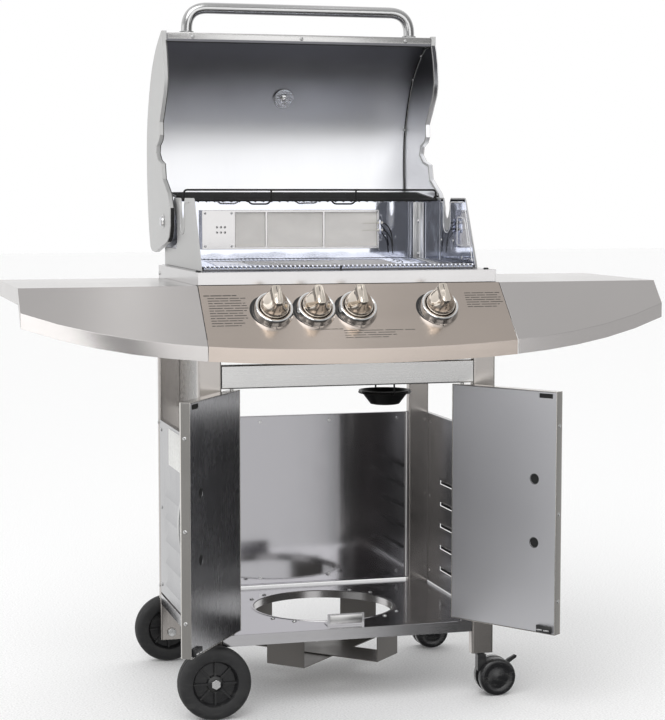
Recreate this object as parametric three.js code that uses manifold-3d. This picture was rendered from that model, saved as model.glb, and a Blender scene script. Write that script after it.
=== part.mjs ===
// Gas barbecue grill on a two-door cart, with its lid and both doors open.
// Millimetres. +X is to the grill's right as its user faces it, +Y is to the rear, +Z is up.
// Dimensions are written with Y = 0 on the front face of the front legs and Z = 0 on the floor;
// every piece is shifted by CENTRE_SHIFT_Y at the end so the origin is under the middle of the grill.
import * as THREE from 'three';
import Module from 'manifold-3d';
import { mergeVertices } from 'three/addons/utils/BufferGeometryUtils.js';

const wasm = await Module();
wasm.setup();

// ---------------------------------------------------------------- driving dimensions
const GAP = 0.4;                       // clearance between pieces that touch
const SHEET = 1.5;                     // sheet metal thickness
const DEG = Math.PI / 180;
const CENTRE_SHIFT_Y = -193.33;           // moves the middle of the depth onto Y = 0

// cart frame
const CART_HALF_WIDTH = 310;
const LEG_WIDTH = 47;
const LEG_DEPTH = 22;
const LEG_WALL = 2;
const LEG_CORNER = 4;
const REAR_LEG_Y = 432;
const LEG_TOP_Z = 842;
const LEFT_LEG_BOTTOM_Z = 56;
const RIGHT_LEG_BOTTOM_Z = 90;
const LEG_CENTRE_X = CART_HALF_WIDTH - LEG_WIDTH / 2;
const LEG_INNER_X = CART_HALF_WIDTH - LEG_WIDTH;
const BEAM_BOTTOM_Z = 655;
const BEAM_TOP_Z = 702;

// cart panels
const SHELF_TOP_Z = 160;
const SHELF_FLANGE = 23;
const BOTTLE_HOLE_RADIUS = 150;
const BOTTLE_HOLE_X = 4.5;
const BOTTLE_HOLE_Y = 225;
const BOTTLE_RIM_DEPTH = 15;
const PANEL_BOTTOM_Z = 165;
const PANEL_TOP_Z = 547;
const LOUVRE_COUNT = 5;
const LOUVRE_FIRST_Z = 201;
const LOUVRE_PITCH = 48.8;
const LOUVRE_LENGTH = 236;

// doors
const DOOR_THICKNESS = 22.5;
const DOOR_BOTTOM_Z = 166;
const DOOR_TOP_Z = 652;
const DOOR_HINGE_END_X = 258.3;        // end of the closed door beside the leg
const DOOR_MEETING_X = 1.5;            // free edge of the closed door
const DOOR_OUTER_Y = -3;
const DOOR_PIVOT_X = 241.3;
const DOOR_PIVOT_Y = DOOR_OUTER_Y + DOOR_THICKNESS / 2;
const DOOR_OPEN_DEG = 124;
const DOOR_HANDLE_INSET = 52;
const DOOR_HANDLE_LOW_Z = 347;
const DOOR_HANDLE_HIGH_Z = 475;

// wheels and castors
const WHEEL_RADIUS = 73.5;
const WHEEL_WIDTH = 38;
const FRONT_WHEEL_Y = -24;
const REAR_WHEEL_Y = 478;
const CASTOR_RADIUS = 39;
const CASTOR_TRAIL = 31;               // distance from the swivel stem to the wheel centre
const CASTOR_DISC = 15;
const CASTOR_HALF_GAP = 9;

// firebox
const WALL_X = 291;
const WALL_TOP_Z = 1031;
const RIM_TOP_Z = 886;
const RIM_FRONT_BOTTOM_Z = 861;
const RIM_SIDE_BOTTOM_Z = 843;
const FIREBOX_BACK_Y = 456;
const FIREBOX_OPENING_FRONT_Y = 56;
const TRAY_HALF_WIDTH = 257;
const TRAY_BOTTOM_Z = 730;
const BURNER_XS = [-170, 0, 170];
const BURNER_Z = 795;
const BURNER_RADIUS = 12;

// lid, drawn open
const LID_PIVOT_Y = 385;
const LID_PIVOT_Z = 981;
const LID_SKIN_HALF = 296.4;
const LID_CAP_THICKNESS = 10;

// control panel and side shelves
const PANEL_EDGE_Y = -2;
const PANEL_EDGE_Z = 860;
const SLOPE_DEG = 48;
const SLOPE_TAN = Math.tan(SLOPE_DEG * DEG);
const LIP_HEIGHT = 29;
const BOW_MIDDLE_Y = -111;
const BOW_FALL_2 = 7.15e-5;            // the bow falls back by these times x squared and x to the fourth
const BOW_FALL_4 = 1.934e-10;
const SEAM_BACK_X = 315;               // right seam at the panel's top edge
const SEAM_FRONT_X = 320.5;            // and at the bow's middle depth
const SHELF_END_X = 660;
const SHELF_REAR_Y = 372;
const SKIRT_HEIGHT = 32;

// knobs: four places out of an equal grid of five
const KNOB_XS = [-170, -84.5, 1, 171];
const KNOB_Y = -47;
const KNOB_Z = PANEL_EDGE_Z + (KNOB_Y - PANEL_EDGE_Y) * SLOPE_TAN;
const PANEL_NORMAL = new THREE.Vector3(0, -Math.sin(SLOPE_DEG * DEG), Math.cos(SLOPE_DEG * DEG));
const BEZEL_RADIUS = 40;
const BEZEL_RIM_RADIUS = 36.8;
const BEZEL_BORE = 31.5;
const BEZEL_HEIGHT = 15;
const KNOB_RADIUS = 29;
const STEM_RADIUS = 4;

// ---------------------------------------------------------------- solids
function toSolid(geometry) {
  const bare = geometry.index ? geometry.toNonIndexed() : geometry.clone();
  bare.deleteAttribute('normal');
  bare.deleteAttribute('uv');
  const merged = mergeVertices(bare, 1e-4);
  const vertProperties = Float32Array.from(merged.attributes.position.array);
  const triVerts = Uint32Array.from(merged.index.array);
  return new wasm.Manifold(new wasm.Mesh({ numProp: 3, vertProperties, triVerts }));
}

function toGeometry(solid) {
  const mesh = solid.getMesh();
  const geometry = new THREE.BufferGeometry();
  geometry.setAttribute('position', new THREE.BufferAttribute(Float32Array.from(mesh.vertProperties), 3));
  geometry.setIndex(new THREE.BufferAttribute(Uint32Array.from(mesh.triVerts), 1));
  return geometry;
}

function union(...solids) {
  return solids.flat().reduce((sum, solid) => sum.add(solid));
}

function cut(solid, ...tools) {
  return tools.flat().reduce((rest, tool) => rest.subtract(tool), solid);
}

// box between two corners
function box(x0, x1, y0, y1, z0, z1) {
  const geometry = new THREE.BoxGeometry(x1 - x0, y1 - y0, z1 - z0);
  geometry.translate((x0 + x1) / 2, (y0 + y1) / 2, (z0 + z1) / 2);
  return toSolid(geometry);
}

function shapeOf(points) {
  return new THREE.Shape(points.map(([u, v]) => new THREE.Vector2(u, v)));
}

// profile in (y, z) drawn out along X
function alongX(points, x0, x1) {
  const geometry = new THREE.ExtrudeGeometry(shapeOf(points), { depth: x1 - x0, bevelEnabled: false });
  geometry.applyMatrix4(new THREE.Matrix4().makeBasis(
    new THREE.Vector3(0, 1, 0), new THREE.Vector3(0, 0, 1), new THREE.Vector3(1, 0, 0)));
  geometry.translate(x0, 0, 0);
  return toSolid(geometry);
}

// profile in (x, z) drawn out along Y
function alongY(points, y0, y1) {
  const geometry = new THREE.ExtrudeGeometry(shapeOf(points), { depth: y1 - y0, bevelEnabled: false });
  geometry.applyMatrix4(new THREE.Matrix4().makeBasis(
    new THREE.Vector3(1, 0, 0), new THREE.Vector3(0, 0, 1), new THREE.Vector3(0, -1, 0)));
  geometry.translate(0, y1, 0);
  return toSolid(geometry);
}

// profile in (x, y) drawn out along Z
function alongZ(points, z0, z1) {
  const geometry = new THREE.ExtrudeGeometry(shapeOf(points), { depth: z1 - z0, bevelEnabled: false });
  geometry.translate(0, 0, z0);
  return toSolid(geometry);
}

// round bar between two points
function bar(from, to, radius, sides = 12) {
  const a = new THREE.Vector3(...from);
  const b = new THREE.Vector3(...to);
  const direction = b.clone().sub(a);
  const geometry = new THREE.CylinderGeometry(radius, radius, direction.length(), sides);
  geometry.applyQuaternion(new THREE.Quaternion().setFromUnitVectors(
    new THREE.Vector3(0, 1, 0), direction.clone().normalize()));
  const middle = a.add(b).multiplyScalar(0.5);
  geometry.translate(middle.x, middle.y, middle.z);
  return toSolid(geometry);
}

// bent round bar through corner points, each corner rounded to the given bend
function bentBar(points, radius, bend, steps, sides = 8) {
  const corners = points.map((p) => new THREE.Vector3(...p));
  const path = new THREE.CurvePath();
  let start = corners[0];
  for (let i = 1; i < corners.length - 1; i += 1) {
    const before = corners[i].clone().sub(corners[i - 1]).normalize();
    const after = corners[i + 1].clone().sub(corners[i]).normalize();
    const enter = corners[i].clone().addScaledVector(before, -bend);
    const leave = corners[i].clone().addScaledVector(after, bend);
    path.add(new THREE.LineCurve3(start, enter));
    path.add(new THREE.QuadraticBezierCurve3(enter, corners[i], leave));
    start = leave;
  }
  path.add(new THREE.LineCurve3(start, corners[corners.length - 1]));
  const ring = [];
  for (let i = 0; i < sides; i += 1) {
    const angle = (i / sides) * Math.PI * 2;
    ring.push([radius * Math.cos(angle), radius * Math.sin(angle)]);
  }
  const geometry = new THREE.ExtrudeGeometry(shapeOf(ring), {
    steps, bevelEnabled: false, extrudePath: path,
  });
  return toSolid(geometry);
}

// lathe turned about the axis through a point; profile rows are [radius, height along the axis]
function turned(profile, at, axis, sides = 24) {
  const geometry = new THREE.LatheGeometry(profile.map(([r, h]) => new THREE.Vector2(r, h)), sides);
  const up = new THREE.Vector3(0, 1, 0);
  geometry.applyQuaternion(new THREE.Quaternion().setFromUnitVectors(up, axis.clone().normalize()));
  geometry.translate(at.x, at.y, at.z);
  return toSolid(geometry);
}

function roundedRectangle(x0, x1, y0, y1, corner, steps = 3) {
  const points = [];
  const centres = [[x1 - corner, y1 - corner, 0], [x0 + corner, y1 - corner, 90],
    [x0 + corner, y0 + corner, 180], [x1 - corner, y0 + corner, 270]];
  for (const [cx, cy, first] of centres) {
    for (let i = 0; i <= steps; i += 1) {
      const angle = (first + (90 * i) / steps) * DEG;
      points.push([cx + corner * Math.cos(angle), cy + corner * Math.sin(angle)]);
    }
  }
  return points;
}

const X_AXIS = new THREE.Vector3(1, 0, 0);
const Y_AXIS = new THREE.Vector3(0, 1, 0);
const Z_AXIS = new THREE.Vector3(0, 0, 1);

// ---------------------------------------------------------------- the assembly
const grill = new THREE.Group();
grill.name = 'gas_barbecue_grill';

const STEEL = { color: 0xb9b7b3, roughness: 0.32, metalness: 1.0 };
const DARK_STEEL = { color: 0x77777a, roughness: 0.35, metalness: 1.0 };
const CAST = { color: 0xc9c9c7, roughness: 0.5, metalness: 0.3 };
const BLACK_PLASTIC = { color: 0x141414, roughness: 0.5, metalness: 0.0 };
const BLACK_IRON = { color: 0x1c1c1c, roughness: 0.6, metalness: 0.5 };
const CHROME = { color: 0xd8d8d8, roughness: 0.12, metalness: 1.0 };
const CERAMIC = { color: 0xcbb79b, roughness: 0.8, metalness: 0.0 };
const BRASS = { color: 0xb08d4f, roughness: 0.35, metalness: 1.0 };

function add(name, solid, finish) {
  const geometry = toGeometry(solid);
  geometry.translate(0, CENTRE_SHIFT_Y, 0);
  geometry.computeVertexNormals();
  const mesh = new THREE.Mesh(geometry, new THREE.MeshStandardMaterial(finish));
  mesh.name = name;
  grill.add(mesh);
}

// ---------------------------------------------------------------- legs and beam
// a leg is a rectangular tube, closed at its foot where a wheel bolt or a castor stem goes in
function leg(side, y0, bottomZ, footHeight) {
  const x0 = side * LEG_CENTRE_X - LEG_WIDTH / 2;
  const x1 = x0 + LEG_WIDTH;
  const y1 = y0 + LEG_DEPTH;
  const outer = alongZ(roundedRectangle(x0, x1, y0, y1, LEG_CORNER), bottomZ, LEG_TOP_Z);
  const inner = alongZ(roundedRectangle(x0 + LEG_WALL, x1 - LEG_WALL, y0 + LEG_WALL, y1 - LEG_WALL,
    LEG_CORNER - LEG_WALL, 1), bottomZ + footHeight, LEG_TOP_Z + 1);
  return cut(outer, inner);
}

const BOLT_RADIUS = 6;
const BOLT_HOLE_RADIUS = BOLT_RADIUS + GAP;
const CASTOR_STEM_RADIUS = 5;
const CASTOR_STEM_HEIGHT = 30;

function leftLeg(y0) {
  const hole = bar([-LEG_CENTRE_X, y0 - 1, WHEEL_RADIUS], [-LEG_CENTRE_X, y0 + LEG_DEPTH + 1, WHEEL_RADIUS],
    BOLT_HOLE_RADIUS);
  return cut(leg(-1, y0, LEFT_LEG_BOTTOM_Z, 34), hole);
}

function rightLeg(y0) {
  const y = y0 + LEG_DEPTH / 2;
  const socket = bar([LEG_CENTRE_X, y, RIGHT_LEG_BOTTOM_Z - 1],
    [LEG_CENTRE_X, y, RIGHT_LEG_BOTTOM_Z + CASTOR_STEM_HEIGHT + 1], CASTOR_STEM_RADIUS + GAP);
  return cut(leg(1, y0, RIGHT_LEG_BOTTOM_Z, 36), socket);
}

add('leg_front_left', leftLeg(0), STEEL);
add('leg_front_right', rightLeg(0), STEEL);
add('leg_rear_left', leftLeg(REAR_LEG_Y), STEEL);
add('leg_rear_right', rightLeg(REAR_LEG_Y), STEEL);

const beamEnd = LEG_INNER_X - GAP;
const beamOuter = alongX(roundedRectangle(0, LEG_DEPTH, BEAM_BOTTOM_Z, BEAM_TOP_Z, 3, 2),
  -beamEnd, beamEnd);
const beamInner = box(-beamEnd - 1, beamEnd + 1, LEG_WALL, LEG_DEPTH - LEG_WALL,
  BEAM_BOTTOM_Z + LEG_WALL, BEAM_TOP_Z - LEG_WALL);
const PIN_RADIUS = 3.5;
const PIN_LENGTH = 10;
const topPins = [-1, 1].map((side) => bar([side * DOOR_PIVOT_X, DOOR_PIVOT_Y, BEAM_BOTTOM_Z + 1],
  [side * DOOR_PIVOT_X, DOOR_PIVOT_Y, BEAM_BOTTOM_Z - PIN_LENGTH], PIN_RADIUS));
add('front_beam', union(cut(beamOuter, beamInner), topPins), STEEL);

// plate on the inner plane of the left legs, its top fixed under the firebox
const SIDE_PLATE_BOTTOM_Z = 572;
add('side_plate_left', box(-LEG_INNER_X + GAP - 2, -LEG_INNER_X + GAP, LEG_DEPTH + GAP, REAR_LEG_Y - GAP,
  SIDE_PLATE_BOTTOM_Z, LEG_TOP_Z), STEEL);

// ---------------------------------------------------------------- bottom shelf
const SHELF_SIDE_X = CART_HALF_WIDTH - 0.6;
const legClear = LEG_INNER_X - GAP;
const frontNotchY = LEG_DEPTH + GAP;
const rearNotchY = REAR_LEG_Y - GAP;
const SHELF_FRONT_Y = 1;
const SHELF_BACK_Y = REAR_LEG_Y + LEG_DEPTH - 1;
function shelfOutline(inset) {
  const w = legClear - inset;
  const s = SHELF_SIDE_X - inset;
  return [[-w, SHELF_FRONT_Y + inset], [w, SHELF_FRONT_Y + inset], [w, frontNotchY + inset],
    [s, frontNotchY + inset], [s, rearNotchY - inset], [w, rearNotchY - inset], [w, SHELF_BACK_Y - inset],
    [-w, SHELF_BACK_Y - inset], [-w, rearNotchY - inset], [-s, rearNotchY - inset],
    [-s, frontNotchY + inset], [-w, frontNotchY + inset]];
}
const shelfPan = cut(
  alongZ(shelfOutline(0), SHELF_TOP_Z - SHELF_FLANGE, SHELF_TOP_Z),
  alongZ(shelfOutline(SHEET), SHELF_TOP_Z - SHELF_FLANGE - 1, SHELF_TOP_Z - SHEET));
const bottleRim = bar([BOTTLE_HOLE_X, BOTTLE_HOLE_Y, SHELF_TOP_Z - BOTTLE_RIM_DEPTH],
  [BOTTLE_HOLE_X, BOTTLE_HOLE_Y, SHELF_TOP_Z - 0.5], BOTTLE_HOLE_RADIUS + SHEET, 32);
const bottleHole = bar([BOTTLE_HOLE_X, BOTTLE_HOLE_Y, SHELF_TOP_Z - SHELF_FLANGE - 2],
  [BOTTLE_HOLE_X, BOTTLE_HOLE_Y, SHELF_TOP_Z + 1], BOTTLE_HOLE_RADIUS, 32);
const shelfPins = [-1, 1].map((side) => bar([side * DOOR_PIVOT_X, DOOR_PIVOT_Y, SHELF_TOP_Z - 1],
  [side * DOOR_PIVOT_X, DOOR_PIVOT_Y, SHELF_TOP_Z + PIN_LENGTH + 2], PIN_RADIUS));
// folded tab that the door magnets close against
const CATCH_HALF_WIDTH = 39;
const CATCH_Y = 27.5;
const catchTab = alongX([[CATCH_Y, SHELF_TOP_Z - 0.5], [CATCH_Y + 26, SHELF_TOP_Z - 0.5],
  [CATCH_Y + 26, SHELF_TOP_Z + SHEET], [CATCH_Y + SHEET, SHELF_TOP_Z + SHEET],
  [CATCH_Y + SHEET, SHELF_TOP_Z + 25], [CATCH_Y, SHELF_TOP_Z + 25]], -CATCH_HALF_WIDTH, CATCH_HALF_WIDTH);
add('bottom_shelf', union(cut(union(shelfPan, bottleRim), bottleHole), shelfPins, catchTab), STEEL);

// two crossing U straps under the shelf carry the foot of the gas bottle
const STRAP_WIDTH = 90;
const STRAP_REACH = 155;
const STRAP_TAB = 22;
const STRAP_SHEET = 2;
function cradleStrap(turnDeg, lowZ) {
  const top = SHELF_TOP_Z - SHEET - GAP;
  const outside = STRAP_REACH + STRAP_SHEET;
  const tabEnd = STRAP_REACH + STRAP_TAB;
  const outline = [[-tabEnd, top], [-tabEnd, top - STRAP_SHEET], [-outside, top - STRAP_SHEET],
    [-outside, lowZ], [outside, lowZ], [outside, top - STRAP_SHEET], [tabEnd, top - STRAP_SHEET],
    [tabEnd, top], [STRAP_REACH, top], [STRAP_REACH, lowZ + STRAP_SHEET],
    [-STRAP_REACH, lowZ + STRAP_SHEET], [-STRAP_REACH, top]];
  return alongY(outline, -STRAP_WIDTH / 2, STRAP_WIDTH / 2)
    .rotate([0, 0, turnDeg])
    .translate([BOTTLE_HOLE_X, BOTTLE_HOLE_Y, 0]);
}
const CRADLE_LOW_Z = 62;
add('cradle_strap_lower', cradleStrap(45, CRADLE_LOW_Z), STEEL);
add('cradle_strap_upper', cradleStrap(-45, CRADLE_LOW_Z + STRAP_SHEET + GAP), STEEL);

// ---------------------------------------------------------------- back and side panels
const PANEL_FLANGE = 12;
const backY = REAR_LEG_Y + LEG_DEPTH - 2;
const backPan = cut(
  box(-legClear, legClear, backY - PANEL_FLANGE, backY, PANEL_BOTTOM_Z, PANEL_TOP_Z),
  box(-legClear - 1, legClear + 1, backY - PANEL_FLANGE - 1, backY - SHEET,
    PANEL_BOTTOM_Z + SHEET, PANEL_TOP_Z - SHEET));
add('back_panel', backPan, STEEL);

// each louvre is a pressed hood that stands out of the panel and is open along its lower edge
function sidePanel(side) {
  const out = side * (CART_HALF_WIDTH - 0.5);
  const inn = side * (CART_HALF_WIDTH - 0.5 - SHEET);
  const fold = side * (CART_HALF_WIDTH - 0.5 - PANEL_FLANGE);
  const y0 = LEG_DEPTH + GAP;
  const y1 = REAR_LEG_Y - GAP;
  const span = (a, b) => [Math.min(a, b), Math.max(a, b)];
  let panel = cut(
    box(...span(out, fold), y0, y1, PANEL_BOTTOM_Z, PANEL_TOP_Z),
    box(...span(inn, fold - side), y0 - 1, y1 + 1, PANEL_BOTTOM_Z + SHEET, PANEL_TOP_Z - SHEET));
  const middle = (y0 + y1) / 2;
  for (let i = 0; i < LOUVRE_COUNT; i += 1) {
    const z = LOUVRE_FIRST_Z + i * LOUVRE_PITCH;
    const proud = side * 6;
    const sheetIn = side * SHEET;
    const hood = [[out - sheetIn / 2, z + 12], [out + proud, z - 4], [out + proud - sheetIn, z - 4],
      [inn, z + 8], [inn, z + 12]];
    const ordered = side > 0 ? hood : hood.slice().reverse();
    panel = cut(panel, box(...span(out + side, inn - side), middle - LOUVRE_LENGTH / 2,
      middle + LOUVRE_LENGTH / 2, z - 4, z + 8));
    panel = union(panel, alongY(ordered, middle - LOUVRE_LENGTH / 2, middle + LOUVRE_LENGTH / 2));
  }
  return panel;
}
add('side_panel_left', sidePanel(-1), STEEL);
add('side_panel_right', sidePanel(1), STEEL);

// ---------------------------------------------------------------- doors
// drawn closed, then swung open about the hinge pins
function swing(solid, side) {
  return solid
    .translate([-side * DOOR_PIVOT_X, -DOOR_PIVOT_Y, 0])
    .rotate([0, 0, side * DOOR_OPEN_DEG])
    .translate([side * DOOR_PIVOT_X, DOOR_PIVOT_Y, 0]);
}

function doorShell(side) {
  const [x0, x1] = [side * DOOR_HINGE_END_X, side * DOOR_MEETING_X].sort((a, b) => a - b);
  const y1 = DOOR_OUTER_Y + DOOR_THICKNESS;
  const outer = alongZ(roundedRectangle(x0, x1, DOOR_OUTER_Y, y1 + 6, 4), DOOR_BOTTOM_Z, DOOR_TOP_Z);
  const trimmed = cut(outer, box(x0 - 1, x1 + 1, y1, y1 + 10, DOOR_BOTTOM_Z - 1, DOOR_TOP_Z + 1));
  const hollow = box(x0 + SHEET, x1 - SHEET, DOOR_OUTER_Y + SHEET, y1 + 1,
    DOOR_BOTTOM_Z + SHEET, DOOR_TOP_Z - SHEET);
  const pinHole = bar([side * DOOR_PIVOT_X, DOOR_PIVOT_Y, DOOR_BOTTOM_Z - 1],
    [side * DOOR_PIVOT_X, DOOR_PIVOT_Y, DOOR_TOP_Z + 1], PIN_RADIUS + GAP);
  const handleX = side * (DOOR_MEETING_X + DOOR_HANDLE_INSET);
  const screwHoles = [DOOR_HANDLE_LOW_Z, DOOR_HANDLE_HIGH_Z].map((z) => bar(
    [handleX, DOOR_OUTER_Y - 1, z], [handleX, DOOR_OUTER_Y + 3, z], 2.5, 8));
  return swing(cut(trimmed, hollow, pinHole, screwHoles), side);
}

const LINER_CLEAR = SHEET + GAP;
const HANDLE_ACCESS_RADIUS = 9.5;
function doorLiner(side) {
  const [x0, x1] = [side * (DOOR_HINGE_END_X - LINER_CLEAR), side * (DOOR_MEETING_X + LINER_CLEAR)]
    .sort((a, b) => a - b);
  const y1 = DOOR_OUTER_Y + DOOR_THICKNESS - 0.6;
  const plate = box(x0, x1, y1 - SHEET, y1, DOOR_BOTTOM_Z + LINER_CLEAR, DOOR_TOP_Z - LINER_CLEAR);
  const handleX = side * (DOOR_MEETING_X + DOOR_HANDLE_INSET);
  const accessHoles = [DOOR_HANDLE_LOW_Z, DOOR_HANDLE_HIGH_Z].map((z) => bar(
    [handleX, y1 - SHEET - 1, z], [handleX, y1 + 1, z], HANDLE_ACCESS_RADIUS, 16));
  const [s0, s1] = [side * (DOOR_MEETING_X + 10), side * (DOOR_MEETING_X + 42)].sort((a, b) => a - b);
  const slot = box(s0, s1, y1 - SHEET - 1, y1 + 1, DOOR_TOP_Z - 14, DOOR_TOP_Z - 5);
  const [m0, m1] = [side * (DOOR_MEETING_X + 8), side * (DOOR_MEETING_X + 40)].sort((a, b) => a - b);
  const magnet = box(m0, m1, y1 - 0.5, y1 + 6, DOOR_BOTTOM_Z + 3, DOOR_BOTTOM_Z + 17);
  return swing(union(cut(plate, accessHoles, slot), magnet), side);
}

const DOOR_HANDLE_RADIUS = 6;
const DOOR_HANDLE_REACH = 24;
function doorHandle(side) {
  const x = side * (DOOR_MEETING_X + DOOR_HANDLE_INSET);
  const face = DOOR_OUTER_Y - GAP;
  const reach = face - DOOR_HANDLE_REACH;
  return swing(bentBar([[x, face, DOOR_HANDLE_LOW_Z], [x, reach, DOOR_HANDLE_LOW_Z],
    [x, reach, DOOR_HANDLE_HIGH_Z], [x, face, DOOR_HANDLE_HIGH_Z]], DOOR_HANDLE_RADIUS, 22, 15), side);
}
add('door_left_shell', doorShell(-1), STEEL);
add('door_left_liner', doorLiner(-1), DARK_STEEL);
add('door_left_handle', doorHandle(-1), CHROME);
add('door_right_shell', doorShell(1), STEEL);
add('door_right_liner', doorLiner(1), DARK_STEEL);
add('door_right_handle', doorHandle(1), CHROME);

// ---------------------------------------------------------------- wheels and their bolts
const HUB_RECESS_RADIUS = 46;
const TYRE_SHOULDER = 6;
const HUB_BORE_RADIUS = BOLT_RADIUS + GAP;
const WHEEL_SPOKES = 8;
function wheel(y) {
  const h = WHEEL_WIDTH / 2;
  const profile = [[HUB_BORE_RADIUS, -h + 6], [16, -h + 6], [19, -h + 13], [HUB_RECESS_RADIUS - 3, -h + 13],
    [HUB_RECESS_RADIUS, -h + 1], [WHEEL_RADIUS - TYRE_SHOULDER, -h], [WHEEL_RADIUS, -h + TYRE_SHOULDER],
    [WHEEL_RADIUS, h - TYRE_SHOULDER], [WHEEL_RADIUS - TYRE_SHOULDER, h], [HUB_RECESS_RADIUS, h - 1],
    [HUB_RECESS_RADIUS - 3, h - 13], [19, h - 13], [16, h - 6], [HUB_BORE_RADIUS, h - 6],
    [HUB_BORE_RADIUS, -h + 6]];
  const centre = new THREE.Vector3(-LEG_CENTRE_X, y, WHEEL_RADIUS);
  const disc = turned(profile, centre, Y_AXIS, 28);
  const spokes = [];
  for (let i = 0; i < WHEEL_SPOKES; i += 1) {
    const spoke = box(15, HUB_RECESS_RADIUS - 1, -h + 7, h - 7, -2, 2)
      .rotate([0, (360 / WHEEL_SPOKES) * i, 0])
      .translate([centre.x, centre.y, centre.z]);
    spokes.push(spoke);
  }
  return union(disc, spokes);
}
const HEX_HEAD_RADIUS = 10;
const HEX_HEAD_HEIGHT = 7;
function axleBolt(wheelY, direction) {
  // direction -1: the wheel stands in front of its leg; +1: behind it
  const hubEnd = wheelY + direction * (WHEEL_WIDTH / 2 - 6 + GAP);
  const headEnd = hubEnd + direction * HEX_HEAD_HEIGHT;
  const legFace = direction < 0 ? LEG_DEPTH : REAR_LEG_Y;
  const nutStart = legFace - direction * GAP;
  const nutEnd = nutStart - direction * HEX_HEAD_HEIGHT;
  const x = -LEG_CENTRE_X;
  const shank = bar([x, headEnd - direction, WHEEL_RADIUS], [x, nutEnd + direction, WHEEL_RADIUS],
    BOLT_RADIUS);
  const head = bar([x, hubEnd, WHEEL_RADIUS], [x, headEnd, WHEEL_RADIUS], HEX_HEAD_RADIUS, 6);
  const nut = bar([x, nutStart, WHEEL_RADIUS], [x, nutEnd, WHEEL_RADIUS], HEX_HEAD_RADIUS, 6);
  return union(shank, head, nut);
}
add('wheel_front', wheel(FRONT_WHEEL_Y), BLACK_PLASTIC);
add('wheel_rear', wheel(REAR_WHEEL_Y), BLACK_PLASTIC);
add('axle_bolt_front', axleBolt(FRONT_WHEEL_Y, -1), STEEL);
add('axle_bolt_rear', axleBolt(REAR_WHEEL_Y, 1), STEEL);

// ---------------------------------------------------------------- twin-disc castors
const CASTOR_X = LEG_CENTRE_X + CASTOR_TRAIL;
const CASTOR_AXLE_RADIUS = 4;
function castorWheels(legY) {
  const y = legY + LEG_DEPTH / 2;
  const discs = [-1, 1].map((side) => {
    const inner = side * CASTOR_HALF_GAP;
    const outer = side * (CASTOR_HALF_GAP + CASTOR_DISC);
    const r = CASTOR_RADIUS;
    const profile = [[0, inner], [r, inner], [r, outer - side * 4], [r - 4, outer], [0, outer]];
    const rows = side > 0 ? profile : profile.slice().reverse();
    return turned(rows, new THREE.Vector3(CASTOR_X, y, r), Y_AXIS, 22);
  });
  const axle = bar([CASTOR_X, y - CASTOR_HALF_GAP - 1, CASTOR_RADIUS],
    [CASTOR_X, y + CASTOR_HALF_GAP + 1, CASTOR_RADIUS], CASTOR_AXLE_RADIUS, 10);
  return union(discs, axle);
}

const HOOD_HALF_THICKNESS = CASTOR_HALF_GAP - 0.6;
const BRAKE_PIVOT = [CASTOR_X + 21, CASTOR_RADIUS + 25];
function castorHood(legY) {
  const y = legY + LEG_DEPTH / 2;
  const r = CASTOR_RADIUS + 2;
  const points = [[LEG_CENTRE_X - 9, RIGHT_LEG_BOTTOM_Z - 4], [LEG_CENTRE_X - 9, CASTOR_RADIUS + 4]];
  for (let deg = 190; deg >= 0; deg -= 19) {
    points.push([CASTOR_X + (r - 8) * Math.cos((190 - deg + 175) * DEG) * -1,
      CASTOR_RADIUS + (r - 8) * Math.sin((190 - deg + 175) * DEG) * -1]);
  }
  const crown = [];
  for (let deg = -5; deg <= 125; deg += 10) {
    crown.push([CASTOR_X + (r - 3) * Math.cos(deg * DEG), CASTOR_RADIUS + (r - 3) * Math.sin(deg * DEG)]);
  }
  crown.push([LEG_CENTRE_X + 9, RIGHT_LEG_BOTTOM_Z - 4]);
  crown.push([LEG_CENTRE_X - 9, RIGHT_LEG_BOTTOM_Z - 4]);
  crown.push([LEG_CENTRE_X - 9, CASTOR_RADIUS + 14]);
  crown.push([CASTOR_X - 14, CASTOR_RADIUS - 8]);
  crown.push([CASTOR_X + 12, CASTOR_RADIUS - 10]);
  const body = alongY(crown, y - HOOD_HALF_THICKNESS, y + HOOD_HALF_THICKNESS);
  const axleHole = bar([CASTOR_X, y - CASTOR_HALF_GAP, CASTOR_RADIUS],
    [CASTOR_X, y + CASTOR_HALF_GAP, CASTOR_RADIUS], CASTOR_AXLE_RADIUS + GAP, 16);
  const brakeSlot = box(BRAKE_PIVOT[0] - 4, BRAKE_PIVOT[0] + 40, y - 4, y + 4,
    BRAKE_PIVOT[1] - 7, BRAKE_PIVOT[1] + 30);
  const stem = bar([LEG_CENTRE_X, y, CASTOR_RADIUS + 20],
    [LEG_CENTRE_X, y, RIGHT_LEG_BOTTOM_Z + CASTOR_STEM_HEIGHT], CASTOR_STEM_RADIUS, 16);
  const collar = bar([LEG_CENTRE_X, y, CASTOR_RADIUS + 40], [LEG_CENTRE_X, y, RIGHT_LEG_BOTTOM_Z - 2],
    8.2, 16);
  return union(cut(union(body, collar), axleHole, legY === 0 ? [brakeSlot] : []), stem);
}

function castorBrake(legY) {
  const y = legY + LEG_DEPTH / 2;
  const [px, pz] = BRAKE_PIVOT;
  const points = [[px - 2.5, pz - 4], [px + 6, pz - 3], [px + 26, pz + 10], [px + 27, pz + 14],
    [px + 23, pz + 16], [px + 4, pz + 6], [px - 2.5, pz + 4]];
  return alongY(points, y - 3.4, y + 3.4);
}
add('castor_front_wheels', castorWheels(0), BLACK_PLASTIC);
add('castor_front_hood', castorHood(0), BLACK_PLASTIC);
add('castor_front_brake', castorBrake(0), BLACK_PLASTIC);
add('castor_rear_wheels', castorWheels(REAR_LEG_Y), BLACK_PLASTIC);
add('castor_rear_hood', castorHood(REAR_LEG_Y), BLACK_PLASTIC);

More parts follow.
